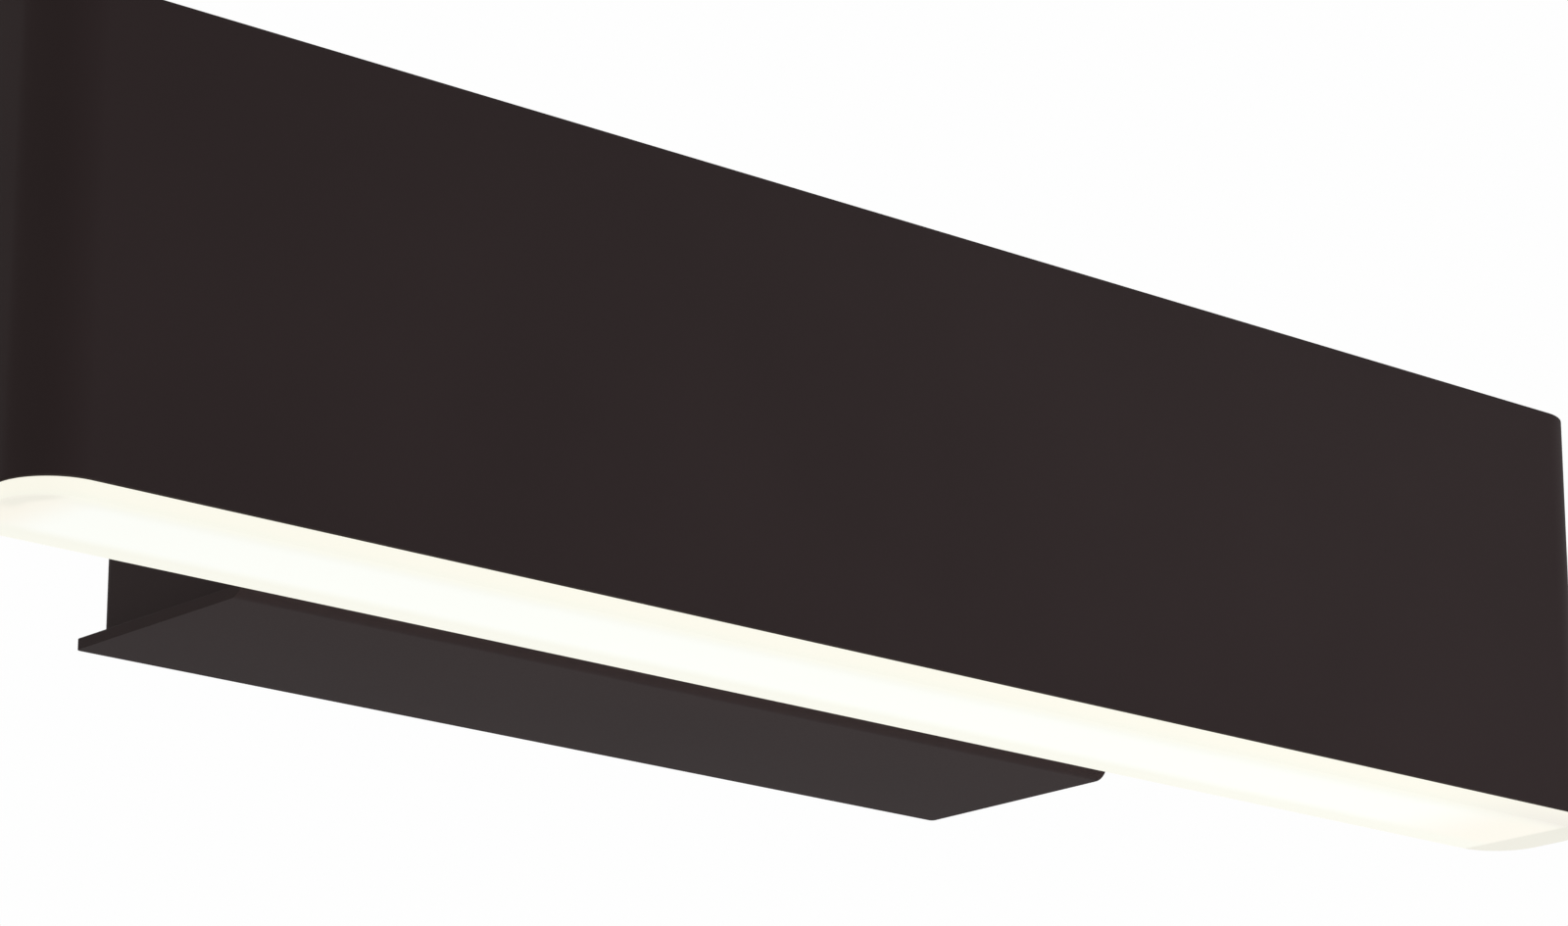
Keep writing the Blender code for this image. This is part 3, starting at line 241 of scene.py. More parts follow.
def along(tree, axis):
    """The place on the object along one axis."""
    split = tree.nodes.new("ShaderNodeSeparateXYZ")
    link(tree, object_place(tree), split.inputs["Vector"])
    return split.outputs[axis]


def distance(tree, point):
    """How far the place on the object is from a point."""
    node = tree.nodes.new("ShaderNodeVectorMath")
    node.operation = "DISTANCE"
    node.inputs[1].default_value = point
    link(tree, object_place(tree), node.inputs[0])
    return node.outputs["Value"]


def rise(tree, value, start, end):
    """Eases from 0 to 1 as the value goes from start to end."""
    step = tree.nodes.new("ShaderNodeMapRange")
    step.interpolation_type = "SMOOTHSTEP"
    step.inputs["From Min"].default_value = start
    step.inputs["From Max"].default_value = end
    link(tree, value, step.inputs["Value"])
    return step.outputs["Result"]


def calculated(tree, operation, first, second):
    node = tree.nodes.new("ShaderNodeMath")
    node.operation = operation
    link(tree, first, node.inputs[0])
    link(tree, second, node.inputs[1])
    return node.outputs[0]


def mixed(tree, factor, first, second):
    """Goes from the first colour to the second; each is a plain colour or a node's output."""
    node = tree.nodes.new("ShaderNodeMix")
    node.data_type = "RGBA"
    link(tree, factor, node.inputs["Factor"])
    for socket, colour in ((node.inputs["A"], first), (node.inputs["B"], second)):
        if isinstance(colour, tuple):
            socket.default_value = (*colour, 1)
        else:
            link(tree, colour, socket)
    return node.outputs["Result"]


def banded(tree, value, bands, end):
    """Plain colours side by side along a value, each given with the place where it starts."""
    low = bands[0][0]
    span = tree.nodes.new("ShaderNodeMapRange")
    span.inputs["From Min"].default_value = low
    span.inputs["From Max"].default_value = end
    link(tree, value, span.inputs["Value"])
    ramp = tree.nodes.new("ShaderNodeValToRGB")
    ramp.color_ramp.interpolation = "CONSTANT"
    stops = ramp.color_ramp.elements
    while len(stops) < len(bands):
        stops.new(1)
    for stop, (start, colour) in zip(stops, bands):
        stop.position = (start - low) / (end - low)
        stop.color = (*colour, 1)
    link(tree, span.outputs["Result"], ramp.inputs["Fac"])
    return ramp.outputs["Color"]


def recoloured(material, axis, levels, colour):
    """Gives a finish another colour past two close levels along one axis."""
    tree = material.node_tree
    base = tree.nodes["Principled BSDF"].inputs["Base Color"]
    first = base.links[0].from_socket
    link(tree, mixed(tree, rise(tree, along(tree, axis), *levels), first, colour(tree)), base)
    return material


# Past these levels the LED board shows its packages and the driver board its components. From left to right
# the components are a choke, a capacitor, a chip, a transformer, a capacitor and a chip
LED_FACE_LEVELS = (-0.0200, -0.0202)
PHOSPHOR_SCALE = 900.0
PHOSPHOR_DARK = (0.82, 0.58, 0.10)
PHOSPHOR_LIGHT = (0.90, 0.68, 0.16)
COMPONENT_LEVELS = (-0.0078, -0.0080)
COPPER = (0.42, 0.18, 0.07)
CAN_BLACK = (0.030, 0.032, 0.045)
CHIP_BLACK = (0.018, 0.018, 0.018)
TAPE_YELLOW = (0.70, 0.50, 0.07)
COMPONENT_BANDS = (
    (-0.046, COPPER),
    (-0.030, CAN_BLACK),
    (-0.0172, CHIP_BLACK),
    (-0.0065, TAPE_YELLOW),
    (0.0202, CAN_BLACK),
    (0.0330, CHIP_BLACK),
)
COMPONENT_BANDS_END = 0.046


def phosphor(tree):
    """The yellow face of the LED packages, a little uneven."""
    return two_tone(tree, object_noise(tree, PHOSPHOR_SCALE), PHOSPHOR_DARK, PHOSPHOR_LIGHT)


def component_colours(tree):
    return banded(tree, along(tree, "X"), COMPONENT_BANDS, COMPONENT_BANDS_END)


# The lit opal's colours. The first eight are its glow, painted in the emission: dimmer and warmer towards the
# ends, dimmer in the face's margin and along the lower rim towards the right end, with a dimmer band of
# painted shade round the left front corner; the rest are its body
OPAL_WHITE = (0.88, 0.89, 0.84)
OPAL_WARM = (0.86, 0.825, 0.73)
OPAL_RIM = (0.892, 0.870, 0.760)
OPAL_DIMMED_RIM = (0.770, 0.736, 0.671)
OPAL_LINE = (0.87, 0.86, 0.755)
OPAL_DIMMED_MARGIN = (0.835, 0.83, 0.74)
OPAL_DIMMED_END = (0.73, 0.715, 0.63)
OPAL_CORNER_SHADE = (0.775, 0.755, 0.665)
OPAL_BODY_DARK = (0.078, 0.078, 0.075)
OPAL_BODY_LIGHT = (0.082, 0.082, 0.078)
OPAL_CLOUD_SCALE = 60
OPAL_ROUGHNESS = (0.52, 0.60)
OPAL_SPECULAR = 0.1

# Where one of them gives way to the next, each from its start to its end, in metres: up the rim, across the
# face, along the light, and round the middle of the left front corner
FACE_SKIN = (DIFFUSER_BOTTOM + 0.0002, DIFFUSER_BOTTOM)
RIM_LINE = (DIFFUSER_BOTTOM, DIFFUSER_BOTTOM + 0.0014)
RIM_FOOT = (DIFFUSER_BOTTOM + 0.005, DIFFUSER_BOTTOM)
FRONT_LINE = (HEAD_FRONT, HEAD_FRONT + 0.004)
FRONT_MARGIN = (HEAD_FRONT - 0.0005, HEAD_FRONT + 0.0065)
BACK_MARGIN = (HEAD_BACK - 0.0038, HEAD_BACK - 0.0085)
RIGHT_FADING = (0.125, 0.185)
RIGHT_WARM = (0.135, 0.162)
RIGHT_END = (0.1695, 0.1712)
LEFT_WARM = (-0.165, -0.176)
LEFT_END = (-0.174, -0.189)
CORNER_MIDDLE = (HEAD_CORNER - HEAD_LENGTH / 2, HEAD_FRONT + HEAD_CORNER, DIFFUSER_BOTTOM)
CORNER_INNER = (0.0052, 0.0078)
CORNER_OUTER = (0.0100, 0.0090)
CORNER_ALONG = (-0.1725, -0.1760)
CORNER_ACROSS = (-0.0925, -0.0965)


def opal_rim_glow(tree, z, fading):
    """The painted glow of the plate's edge: a line along its foot, and a duller lower part towards the right
    end.
    """
    rim = mixed(tree, rise(tree, z, *RIM_LINE), OPAL_LINE, OPAL_RIM)
    low = rise(tree, z, *RIM_FOOT)
    return mixed(tree, calculated(tree, "MULTIPLY", fading, low), rim, OPAL_DIMMED_RIM)


def opal_face_glow(tree, x, y, fading):
    """The painted glow of the bottom face: a white field that warms and dims towards its ends, inside a
    dimmer cream margin, with a band of painted shade round the left front corner.
    """
    field = mixed(tree, rise(tree, x, *RIGHT_WARM), OPAL_WHITE, OPAL_WARM)
    field = mixed(tree, rise(tree, x, *LEFT_WARM), field, OPAL_WARM)
    field = mixed(tree, rise(tree, x, *LEFT_END), field, OPAL_DIMMED_END)
    line = mixed(tree, fading, OPAL_LINE, OPAL_DIMMED_RIM)
    margin = mixed(tree, rise(tree, y, *FRONT_LINE), line, OPAL_DIMMED_MARGIN)
    inside = calculated(tree, "MULTIPLY", rise(tree, y, *FRONT_MARGIN), rise(tree, y, *BACK_MARGIN))
    face = mixed(tree, inside, margin, field)
    face = mixed(tree, rise(tree, x, *RIGHT_END), face, OPAL_DIMMED_END)
    return mixed(tree, left_corner_shade(tree, x, y), face, OPAL_CORNER_SHADE)


def left_corner_shade(tree, x, y):
    """Where the painted shade goes: 1 along a curved band inside the left front corner, easing to 0 around
    it.
    """
    reach = distance(tree, CORNER_MIDDLE)
    band = rise(tree, reach, *CORNER_INNER)
    for value, zone in ((reach, CORNER_OUTER), (x, CORNER_ALONG), (y, CORNER_ACROSS)):
        band = calculated(tree, "MULTIPLY", band, rise(tree, value, *zone))
    return band


def lit_opal():
    """Opal acrylic lit from inside; the glow is painted in its emission colour, with dimmer and warmer zones
    and painted shade.
    """
    material, tree, shader = new_material("opal_acrylic")
    x, y, z = (along(tree, axis) for axis in "XYZ")
    fading = rise(tree, x, *RIGHT_FADING)
    bottom = rise(tree, z, *FACE_SKIN)
    glow = mixed(tree, bottom, opal_rim_glow(tree, z, fading), opal_face_glow(tree, x, y, fading))
    link(tree, glow, shader.inputs["Emission Color"])
    shader.inputs["Emission Strength"].default_value = 1.0
    cloud = object_noise(tree, OPAL_CLOUD_SCALE)
    link(tree, two_tone(tree, cloud, OPAL_BODY_DARK, OPAL_BODY_LIGHT), shader.inputs["Base Color"])
    link(tree, between(tree, cloud, *OPAL_ROUGHNESS), shader.inputs["Roughness"])
    shader.inputs["Specular IOR Level"].default_value = OPAL_SPECULAR
    return material


# What each finish looks like; depth is the height of the grain in metres
GRAINED = {
    "powder_coat": dict(
        colour=(0.0235, 0.0158, 0.0156), variation=0.04, roughness=(0.60, 0.70),
        grain=2600.0, depth=0.00004, specular=0.1, ior=1.3,
    ),
    "white_board": dict(colour=(0.86, 0.86, 0.84), variation=0.02, roughness=(0.40, 0.52)),
    "blackened_steel": dict(
        colour=(0.035, 0.033, 0.032), variation=0.12, roughness=(0.35, 0.50), metallic=0.6,
    ),
    "white_plastic": dict(colour=(0.80, 0.80, 0.78), variation=0.02, roughness=(0.42, 0.56), depth=0.00003),
    "natural_plastic": dict(colour=(0.76, 0.74, 0.68), variation=0.03, roughness=(0.38, 0.50)),
    "black_rubber": dict(colour=(0.028, 0.028, 0.028), variation=0.08, roughness=(0.68, 0.82), depth=0.00004),
    "circuit_board": dict(colour=(0.05, 0.20, 0.09), variation=0.12, roughness=(0.35, 0.50), grain=400.0),
    "red_insulation": dict(colour=(0.50, 0.03, 0.02), variation=0.05, roughness=(0.38, 0.50)),
    "black_insulation": dict(colour=(0.025, 0.025, 0.025), variation=0.08, roughness=(0.38, 0.50)),
    "brown_insulation": dict(colour=(0.22, 0.09, 0.04), variation=0.06, roughness=(0.38, 0.50)),
    "blue_insulation": dict(colour=(0.04, 0.12, 0.45), variation=0.06, roughness=(0.38, 0.50)),
}
BRUSHED = {
    "bare_aluminium": dict(colour=(0.72, 0.73, 0.74), axis="X"),
    "brass": dict(colour=(0.78, 0.60, 0.30), axis="Z"),
    "zinc_plated_steel": dict(colour=(0.45, 0.46, 0.47), axis="Z"),
}
EARTH_GREEN = (0.10, 0.36, 0.05)
EARTH_YELLOW = (0.75, 0.70, 0.06)

FINISHES = {name: grained(name, **look) for name, look in GRAINED.items()}
FINISHES.update({name: brushed(name, **look) for name, look in BRUSHED.items()})
FINISHES["opal_acrylic"] = lit_opal()
FINISHES["green_yellow_insulation"] = striped_wire("green_yellow_insulation", EARTH_GREEN, EARTH_YELLOW)

for part in frame["record"]["subparts"]:
    shown = nodes[part["node"]]
    for material_slot in shown.material_slots:
        material_slot.material = FINISHES[part["material_slot"]]

led_finish = grained("led_board", **GRAINED["white_board"])
nodes["led_board"].material_slots[0].material = recoloured(led_finish, "Z", LED_FACE_LEVELS, phosphor)
recoloured(FINISHES["circuit_board"], "Y", COMPONENT_LEVELS, component_colours)


# Outlines and meshes


def arc(centre, radius, start, end, steps):
    turns = [start + (end - start) * i / steps for i in range(steps + 1)]
    return [(centre[0] + radius * math.cos(a), centre[1] + radius * math.sin(a)) for a in turns]


def circle(radius, centre=(0, 0)):
    return arc(centre, radius, 0, math.tau * (ROUND_SIDES - 1) / ROUND_SIDES, ROUND_SIDES - 1)


def rounded_rectangle(low, high, radius, steps):
    points = arc((high[0] - radius, high[1] - radius), radius, 0, QUARTER, steps)
    points += arc((low[0] + radius, high[1] - radius), radius, QUARTER, 2 * QUARTER, steps)
    points += arc((low[0] + radius, low[1] + radius), radius, 2 * QUARTER, 3 * QUARTER, steps)
    points += arc((high[0] - radius, low[1] + radius), radius, 3 * QUARTER, 4 * QUARTER, steps)
    return points


def head_outline(inset):
    low = (-HEAD_LENGTH / 2 + inset, HEAD_FRONT + inset)
    high = (HEAD_LENGTH / 2 - inset, HEAD_BACK - inset)
    return rounded_rectangle(low, high, HEAD_CORNER - inset, CORNER_STEPS)


def folded_channel(open_end, web, low, high, bend):
    """Section of a channel: its web at one value of the first axis, its legs running to open_end."""
    way = 1 if open_end > web else -1
    inner = bend - SHEET
    reach = abs(open_end - web)
    local = [(reach, low)]
    local += arc((bend, low + bend), bend, 3 * QUARTER, 2 * QUARTER, BEND_STEPS)
    local += arc((bend, high - bend), bend, 2 * QUARTER, QUARTER, BEND_STEPS)
    local += [(reach, high), (reach, high - SHEET)]
    local += arc((bend, high - bend), inner, QUARTER, 2 * QUARTER, BEND_STEPS)
    local += arc((bend, low + bend), inner, 2 * QUARTER, 3 * QUARTER, BEND_STEPS)
    local.append((reach, low + SHEET))
    return [(web + way * u, v) for u, v in local]


def cross(length, width):
    """A cross recess with as many points as a circle has sides, spread evenly along its lines."""
    quadrant = [(length, -width), (length, width), (width, width), (width, length)]
    lines = list(zip(quadrant, quadrant[1:]))
    steps = ROUND_SIDES // (4 * len(lines))
    points = []
    for turn in range(4):
        for (u0, v0), (u1, v1) in lines:
            for i in range(steps):
                x, y = u0 + (u1 - u0) * i / steps, v0 + (v1 - v0) * i / steps
                for _ in range(turn):
                    x, y = -y, x
                points.append((x, y))
    return points


def lifted(point, height, axis):
    u, v = point
    if axis == "X":
        return (height, u, v)
    if axis == "Y":
        return (u, height, v)
    return (u, v, height)


def loft(bm, rings, axis="Z", looped=False):
    """Bridge outlines of equal point counts, closing on the first ring where looped."""
    rows = [[bm.verts.new(lifted(p, height, axis)) for p in outline] for outline, height in rings]
    pairs = list(zip(rows, rows[1:]))
    if looped:
        pairs.append((rows[-1], rows[0]))
    faces = []
    for first, second in pairs:
        for i in range(len(first)):
            j = (i + 1) % len(first)
            faces.append(bm.faces.new((first[i], first[j], second[j], second[i])))
    if not looped:
        faces.append(bm.faces.new(rows[0]))
        faces.append(bm.faces.new(rows[-1]))
    bmesh.ops.recalc_face_normals(bm, faces=faces)


def prism(outline, low, high, axis="Z"):
    return lambda bm: loft(bm, [(outline, low), (outline, high)], axis)


def rod(radius, low, high, axis, centre):
    return prism(circle(radius, centre), low, high, axis)


def box(low, high):
    outline = [(low[0], low[1]), (high[0], low[1]), (high[0], high[1]), (low[0], high[1])]
    return prism(outline, low[2], high[2])


def new_object(name, data):
    obj = bpy.data.objects.new(name, data)
    bpy.context.scene.collection.objects.link(obj)
    return obj


def mesh_object(name, shape):
    bm = bmesh.new()
    shape(bm)
    mesh = bpy.data.meshes.new(name)
    bm.to_mesh(mesh)
    bm.free()
    return new_object(name, mesh)


def combined(obj, operation, shapes):
    """The object with each shape cut from it or joined to it, its result kept as plain mesh."""
    for shape in shapes:
        tool = mesh_object(obj.name + "_tool", shape)
        modifier = obj.modifiers.new("tool", "BOOLEAN")
        modifier.operation = operation
        modifier.solver = "EXACT"
        modifier.object = tool
        bpy.context.view_layer.update()
        graph = bpy.context.evaluated_depsgraph_get()
        mesh = bpy.data.meshes.new_from_object(obj.evaluated_get(graph))
        obj.modifiers.clear()
        old = obj.data
        obj.data = mesh
        bpy.data.meshes.remove(old)
        bpy.data.objects.remove(tool)


def finished(obj, finish, node, edge=0.0, segments=3):
    """Eases the edges, gives the finish and stands the piece in for its solid."""
    obj.data.materials.clear()
    obj.data.materials.append(FINISHES[finish])
    obj.data.shade_smooth()
    if edge:
        bevel = obj.modifiers.new("edges", "BEVEL")
        bevel.width = edge
        bevel.segments = segments
        bevel.limit_method = "ANGLE"
        bevel.angle_limit = EASED_ANGLE
        bevel.harden_normals = True
        bevel.use_clamp_overlap = True
    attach(obj, "root")
    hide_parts(node)


# Sunk screws


def screw_places(x, y):
    return {side: (way * x, y) for side, way in SIDES.items()}


def sink_cutter(centre, top, depth):
    hole = circle(SHANK_RADIUS + CLEAR, centre)
    mouth = circle(SINK_RADIUS + CLEAR, centre)
    rings = [(hole, top - depth), (hole, top - SINK_HEIGHT), (mouth, top), (mouth, top + OVERRUN)]
    return lambda bm: loft(bm, rings)


def make_sunk_screw(name, place, top):
    def moved(outline):
        return [(place[0] + u, place[1] + v) for u, v in outline]

    foot = cross(RECESS_LENGTH * RECESS_FOOT_SHARE, RECESS_WIDTH * RECESS_FOOT_SHARE)
    rings = [
        (circle(SHANK_RADIUS - SHANK_TIP, place), top - SINK_SCREW_LENGTH),
        (circle(SHANK_RADIUS, place), top - SINK_SCREW_LENGTH + SHANK_TIP),
        (circle(SHANK_RADIUS, place), top - SINK_HEIGHT),
        (circle(SINK_RADIUS, place), top),
        (moved(cross(RECESS_LENGTH, RECESS_WIDTH)), top),
        (moved(foot), top - RECESS_DEPTH),
    ]
    screw = mesh_object(name + "_shell", lambda bm: loft(bm, rings))
    screw.data.set_sharp_from_angle(angle=SCREW_SHARP_ANGLE)
    finished(screw, "blackened_steel", name)


# Head


def make_sleeve():
    rings = [
        (head_outline(0), -HEAD_TOP),
        (head_outline(0), HEAD_TOP),
        (head_outline(HEAD_WALL), HEAD_TOP),
        (head_outline(HEAD_WALL), -HEAD_TOP),
    ]
    sleeve = mesh_object("sleeve_shell", lambda bm: loft(bm, rings, looped=True))
    back = (HEAD_BACK - HEAD_WALL - OVERRUN, HEAD_BACK + OVERRUN)
    combined(sleeve, "DIFFERENCE", [rod(NIPPLE_HOLE_RADIUS, *back, "Y", (x, 0)) for x in (-STEM_X, STEM_X)])
    finished(sleeve, "powder_coat", "head_sleeve", SLEEVE_EDGE)


def make_diffuser():
    """The plate's rim is eased; a plug above its shoulder fits into the sleeve."""
    shoulder = -HEAD_TOP - CLEAR
    plug = head_outline(HEAD_WALL + CLEAR)
    rings = []
    for i in range(DIFFUSER_EDGE_STEPS + 1):
        angle = QUARTER * i / DIFFUSER_EDGE_STEPS
        inset = DIFFUSER_EDGE * (1 - math.sin(angle))
        height = DIFFUSER_BOTTOM + DIFFUSER_EDGE * (1 - math.cos(angle))
        rings.append((head_outline(inset), height))
    rings += [(head_outline(0), shoulder), (plug, shoulder), (plug, shoulder + DIFFUSER_PLUG)]
    plate = mesh_object("opal_plate", lambda bm: loft(bm, rings))
    plate.data.set_sharp_from_angle(angle=DIFFUSER_SHARP_ANGLE)
    finished(plate, "opal_acrylic", "diffuser")


def make_cap():
    outline = head_outline(HEAD_WALL + CLEAR)
    plate = mesh_object("cap_plate", prism(outline, CAP_TOP - CAP_THICKNESS, CAP_TOP))
    places = screw_places(CAP_SCREW_X, HEAD_MIDDLE)
    cuts = [sink_cutter(place, CAP_TOP, 2 * CAP_THICKNESS) for place in places.values()]
    combined(plate, "DIFFERENCE", cuts)
    finished(plate, "powder_coat", "head_top_cap", CAP_EDGE, segments=2)
    for side, place in places.items():
        make_sunk_screw("cap_screw_" + side, place, CAP_TOP)


# Stems


def make_stem(side):
    middle = (SIDES[side] * STEM_X, 0)
    back, front = COVER_FRONT - CLEAR, HEAD_BACK + CLEAR
    rings = [
        (circle(STEM_RADIUS, middle), front),
        (circle(STEM_RADIUS, middle), back),
        (circle(NIPPLE_HOLE_RADIUS, middle), back),
        (circle(NIPPLE_HOLE_RADIUS, middle), front),
    ]
    stem = mesh_object("stem_shell_" + side, lambda bm: loft(bm, rings, "Y", looped=True))
    finished(stem, "powder_coat", "stem_" + side, STEM_EDGE)


# Canopy


def corner_cutter(side):
    """Rounds one back corner of the cover, top and bottom at once."""
    x = side * COVER_HALF
    y = -CLEAR
    start, end = (QUARTER, 0) if side > 0 else (QUARTER, 2 * QUARTER)
    outline = arc((x - side * COVER_CORNER, y - COVER_CORNER), COVER_CORNER, start, end, BEND_STEPS)
    outline += [(x + side * OVERRUN, y - COVER_CORNER), (x + side * OVERRUN, y + OVERRUN)]
    outline.append((x - side * COVER_CORNER, y + OVERRUN))
    return prism(outline, -COVER_TOP - OVERRUN, COVER_TOP + OVERRUN)


def hook(side):
    """A tongue that rises from the cover's lower leg and catches over the bracket's bottom tab."""
    x = side * COVER_SCREW_X
    back = TAB_FRONT - CLEAR
    front = back - SHEET
    foot = -COVER_TOP + SHEET / 2
    under = -BRACKET_TOP + SHEET + CLEAR
    top = under + SHEET
    tip = TAB_FRONT + HOOK_REACH
    outline = [(front, foot), (back, foot), (back, under), (tip, under), (tip, top), (front, top)]
    return prism(outline, x - HOOK_WIDTH / 2, x + HOOK_WIDTH / 2, "X")


def make_cover():
    section = folded_channel(-CLEAR, COVER_FRONT, -COVER_TOP, COVER_TOP, COVER_BEND)
    cover = mesh_object("cover_shell", prism(section, -COVER_HALF, COVER_HALF, "X"))
    through = (COVER_FRONT - OVERRUN, COVER_FRONT + SHEET + OVERRUN)
    places = screw_places(COVER_SCREW_X, COVER_SCREW_Y)
    cuts = [corner_cutter(-1), corner_cutter(1)]
    cuts += [rod(NIPPLE_HOLE_RADIUS, *through, "Y", (x, 0)) for x in (-STEM_X, STEM_X)]
    cuts += [sink_cutter(place, COVER_TOP, 2 * SHEET) for place in places.values()]
    combined(cover, "UNION", [hook(-1), hook(1)])
    combined(cover, "DIFFERENCE", cuts)
    finished(cover, "powder_coat", "canopy_cover", COVER_EDGE)
    for side, place in places.items():
        make_sunk_screw("cover_screw_" + side, place, COVER_TOP)


def slot_cutter(x, low, high):
    radius = SLOT_WIDTH / 2
    reach = SLOT_LENGTH / 2 - radius
    outline = arc((x + reach, 0), radius, -QUARTER, QUARTER, BEND_STEPS)
    outline += arc((x - reach, 0), radius, QUARTER, 3 * QUARTER, BEND_STEPS)
    return prism(outline, low, high, "Y")


def tab(side, level):
    """One tab folded in from an end of the bracket, at its top or its bottom."""
    outer = side * (BRACKET_HALF - SHEET / 2)
    inner = side * (BRACKET_HALF - SHEET - TAB_LENGTH)
    outside = level * BRACKET_TOP
    inside = level * (BRACKET_TOP - SHEET)
    low = (min(outer, inner), TAB_FRONT, min(outside, inside))
    high = (max(outer, inner), TAB_FRONT + TAB_DEPTH, max(outside, inside))
    return box(low, high)


def make_bracket():
    section = folded_channel(BRACKET_FRONT, 0, -BRACKET_HALF, BRACKET_HALF, BRACKET_BEND)
    plan = [(x, y) for y, x in section]
    bracket = mesh_object("bracket_shell", prism(plan, -BRACKET_TOP, BRACKET_TOP))
    through = (-SHEET - OVERRUN, OVERRUN)
    tab_through = (BRACKET_TOP - SHEET - OVERRUN, BRACKET_TOP + OVERRUN)
    hole = SHANK_RADIUS + CLEAR
    cuts = [slot_cutter(x, *through) for x in (-SLOT_X, SLOT_X)]
    cuts.append(rod(ENTRY_RADIUS, *through, "Y", ENTRY))
    cuts.append(rod(EARTH_HOLE_RADIUS, *through, "Y", EARTH_SCREW))
    cuts += [rod(hole, *through, "Y", place) for place in PLATE_SCREWS]
    tab_places = screw_places(COVER_SCREW_X, COVER_SCREW_Y)
    cuts += [rod(hole, *tab_through, "Z", place) for place in tab_places.values()]
    combined(bracket, "UNION", [tab(side, level) for side in (-1, 1) for level in (-1, 1)])
    combined(bracket, "DIFFERENCE", cuts)
    finished(bracket, "powder_coat", "wall_bracket", BRACKET_EDGE, segments=2)


def make_grommet():
    seat = -SHEET - CLEAR
    front = seat - GROMMET_FLANGE
    back = -CLEAR
    neck = circle(ENTRY_RADIUS - CLEAR, ENTRY)
    flange = circle(GROMMET_FLANGE_RADIUS, ENTRY)
    bore = circle(GROMMET_BORE_RADIUS, ENTRY)
    rings = [(flange, front), (flange, seat), (neck, seat), (neck, back), (bore, back), (bore, front)]
    grommet = mesh_object("grommet_shell", lambda bm: loft(bm, rings, "Y", looped=True))
    finished(grommet, "black_rubber", "cable_grommet", GROMMET_EDGE)


make_sleeve()
make_diffuser()
make_cap()
make_stem("left")
make_stem("right")
make_cover()
make_bracket()
make_grommet()


# Studio

WHITE = (1, 1, 1)
BACKDROP_WHITE = (0.991, 0.991, 0.991)
WORLD_LIGHT = 0.45
FLOOR_GREY = (0.80, 0.80, 0.80)
FLOOR_LIFT = 0.62
FLOOR_REACH = 12
FLOOR_TOP = -1.60
FLOOR_THICKNESS = 0.02


def looked_at(tree):
    """1 for what the camera sees itself, in gloss or through glass, and 0 for what lights the object."""
    paths = tree.nodes.new("ShaderNodeLightPath")
    total = paths.outputs["Is Camera Ray"]
    for name in ("Is Glossy Ray", "Is Transmission Ray"):
        total = calculated(tree, "MAXIMUM", total, paths.outputs[name])
    return total


def floor_material():
    """A pale floor that keeps its shadow and looks white where it is lit."""
    material = bpy.data.materials.new("pale_floor")
    material.use_nodes = True
    tree = material.node_tree
    tree.nodes.clear()
    output = tree.nodes.new("ShaderNodeOutputMaterial")
    diffuse = tree.nodes.new("ShaderNodeBsdfDiffuse")
    diffuse.inputs["Color"].default_value = (*FLOOR_GREY, 1)
    lift = tree.nodes.new("ShaderNodeEmission")
    lift.inputs["Color"].default_value = (*WHITE, 1)
    scaled = tree.nodes.new("ShaderNodeMath")
    scaled.operation = "MULTIPLY"
    scaled.inputs[1].default_value = FLOOR_LIFT
    link(tree, looked_at(tree), scaled.inputs[0])
    link(tree, scaled.outputs[0], lift.inputs["Strength"])
    total = tree.nodes.new("ShaderNodeAddShader")
    link(tree, diffuse.outputs["BSDF"], total.inputs[0])
    link(tree, lift.outputs["Emission"], total.inputs[1])
    link(tree, total.outputs["Shader"], output.inputs["Surface"])
    return material


def make_floor():
    low = (-FLOOR_REACH, -FLOOR_REACH, FLOOR_TOP - FLOOR_THICKNESS)
    floor = mesh_object("floor", box(low, (FLOOR_REACH, FLOOR_REACH, FLOOR_TOP)))
    floor.data.materials.append(floor_material())


def make_world():
    world = bpy.data.worlds.new("studio")
    bpy.context.scene.world = world
    world.use_nodes = True
    tree = world.node_tree
    tree.nodes.clear()
    output = tree.nodes.new("ShaderNodeOutputWorld")
    seen = tree.nodes.new("ShaderNodeBackground")
    seen.inputs["Color"].default_value = (*BACKDROP_WHITE, 1)
    lighting = tree.nodes.new("ShaderNodeBackground")
    lighting.inputs["Color"].default_value = (*WHITE, 1)
    lighting.inputs["Strength"].default_value = WORLD_LIGHT
    mix = tree.nodes.new("ShaderNodeMixShader")
    link(tree, looked_at(tree), mix.inputs["Fac"])
    link(tree, lighting.outputs["Background"], mix.inputs[1])
    link(tree, seen.outputs["Background"], mix.inputs[2])
    link(tree, mix.outputs["Shader"], output.inputs["Surface"])


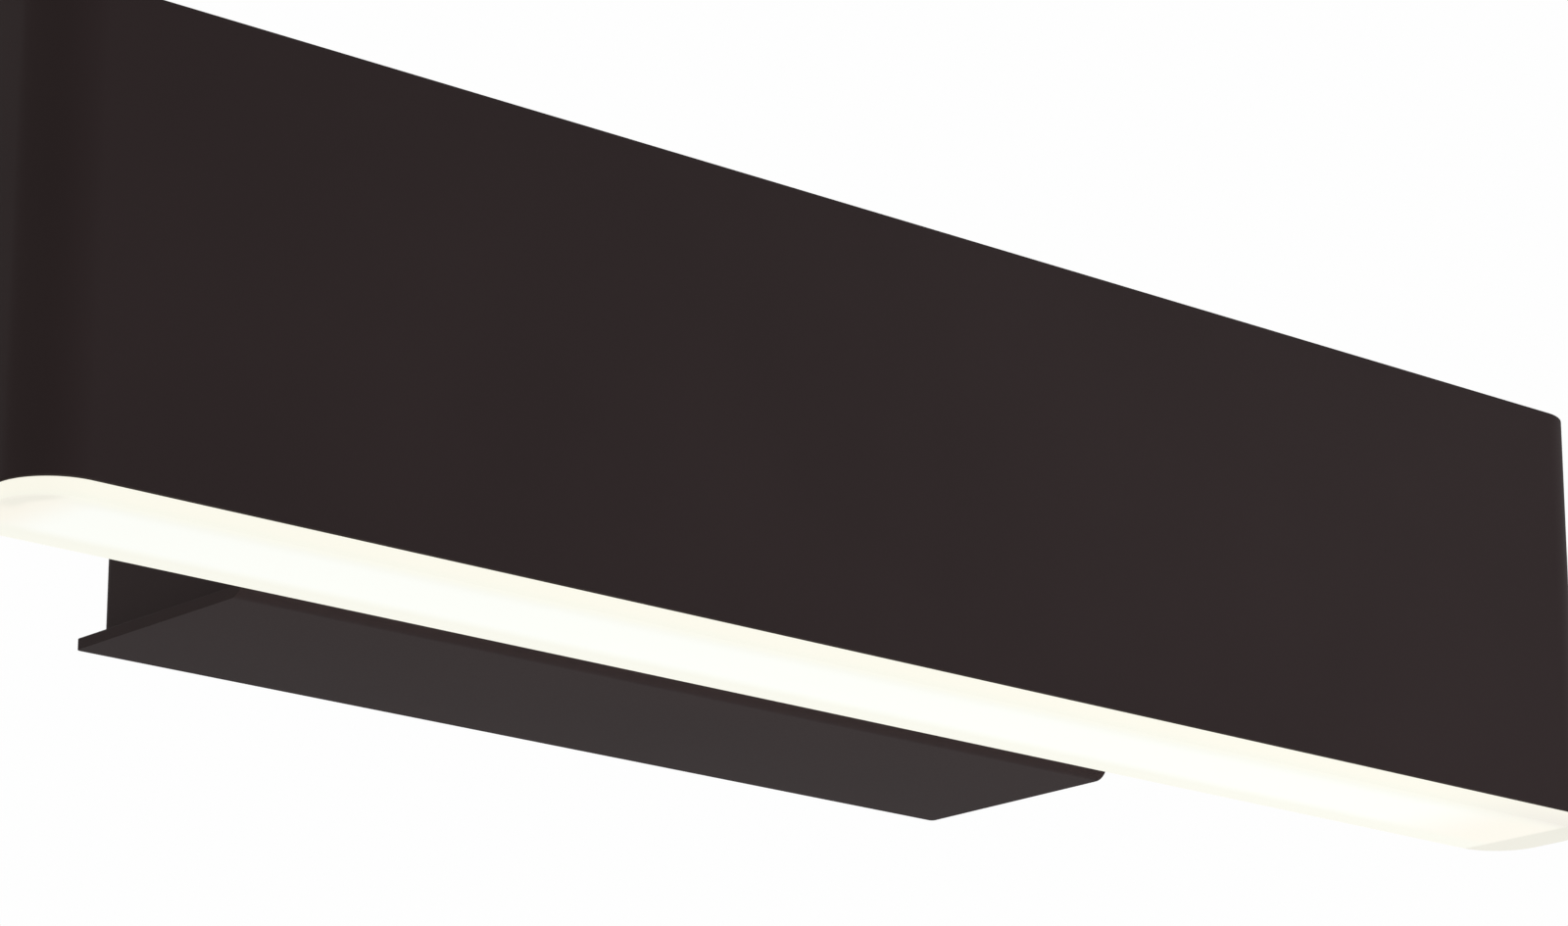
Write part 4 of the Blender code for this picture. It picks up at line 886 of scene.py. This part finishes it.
def area_light(name, place, target, size, power, colour=WHITE, height=0):
    """A round lamp, or a rectangular one where it is given a height; sizes in metres, power in watts."""
    data = bpy.data.lights.new(name, "AREA")
    data.shape = "RECTANGLE" if height else "DISK"
    data.size = size
    if height:
        data.size_y = height
    data.energy = power
    data.color = colour
    light = new_object(name, data)
    light.location = place
    light.rotation_euler = (Vector(target) - Vector(place)).to_track_quat("-Z", "Y").to_euler()


make_floor()
make_world()
HEAD_AIM = (0, -0.08, 0)
COOL = (0.95, 0.99, 1.08)
area_light("main", place=(0.75, -0.85, 0.35), target=HEAD_AIM, size=0.7, power=3.1)
area_light("low", place=(0.30, -0.75, -0.65), target=HEAD_AIM, size=0.5, power=4.8, colour=COOL)
area_light("side", place=(-1.50, -0.30, 0.20), target=(-0.1, -0.06, 0), size=0.6, power=4.2)
area_light("top", place=(-0.50, -0.60, 1.60), target=(0, -0.06, 0), size=0.9, power=4)
area_light("back", place=(0.30, 1.60, 0.80), target=(0, 0, 0), size=2.4, power=12)

# A thin lamp just behind the strip's back rim, shining towards the wall
GLOW_GAP = 0.0005
GLOW_LEVEL = DIFFUSER_BOTTOM + 0.0016
GLOW_PLACE = (0, HEAD_BACK + GLOW_GAP, GLOW_LEVEL)
GLOW_TARGET = (0, 0, GLOW_LEVEL)
GLOW_WARM = (1, 0.95, 0.80)
area_light("rim_glow", GLOW_PLACE, GLOW_TARGET, size=0.34, power=0.036, colour=GLOW_WARM, height=0.003)

# Camera at the photograph's viewing angle; its focal length is in pixels of the photograph
CAMERA_PLACE = (-0.5891, -0.7371, -0.2615)
CAMERA_YAW = 0.72419
CAMERA_PITCH = 0.29003
CAMERA_CLIP = 0.01
FOCAL_PIXELS = 5295.58
PHOTO_WIDTH_PIXELS = 1600
SENSOR_WIDTH_MM = 36


def make_camera():
    data = bpy.data.cameras.new("camera")
    data.sensor_width = SENSOR_WIDTH_MM
    data.lens = FOCAL_PIXELS / PHOTO_WIDTH_PIXELS * SENSOR_WIDTH_MM
    data.clip_start = CAMERA_CLIP
    camera = new_object("camera", data)
    camera.location = CAMERA_PLACE
    camera.rotation_euler = (QUARTER + CAMERA_PITCH, 0, -CAMERA_YAW)
    bpy.context.scene.camera = camera


make_camera()
bpy.context.scene.view_settings.view_transform = "Standard"
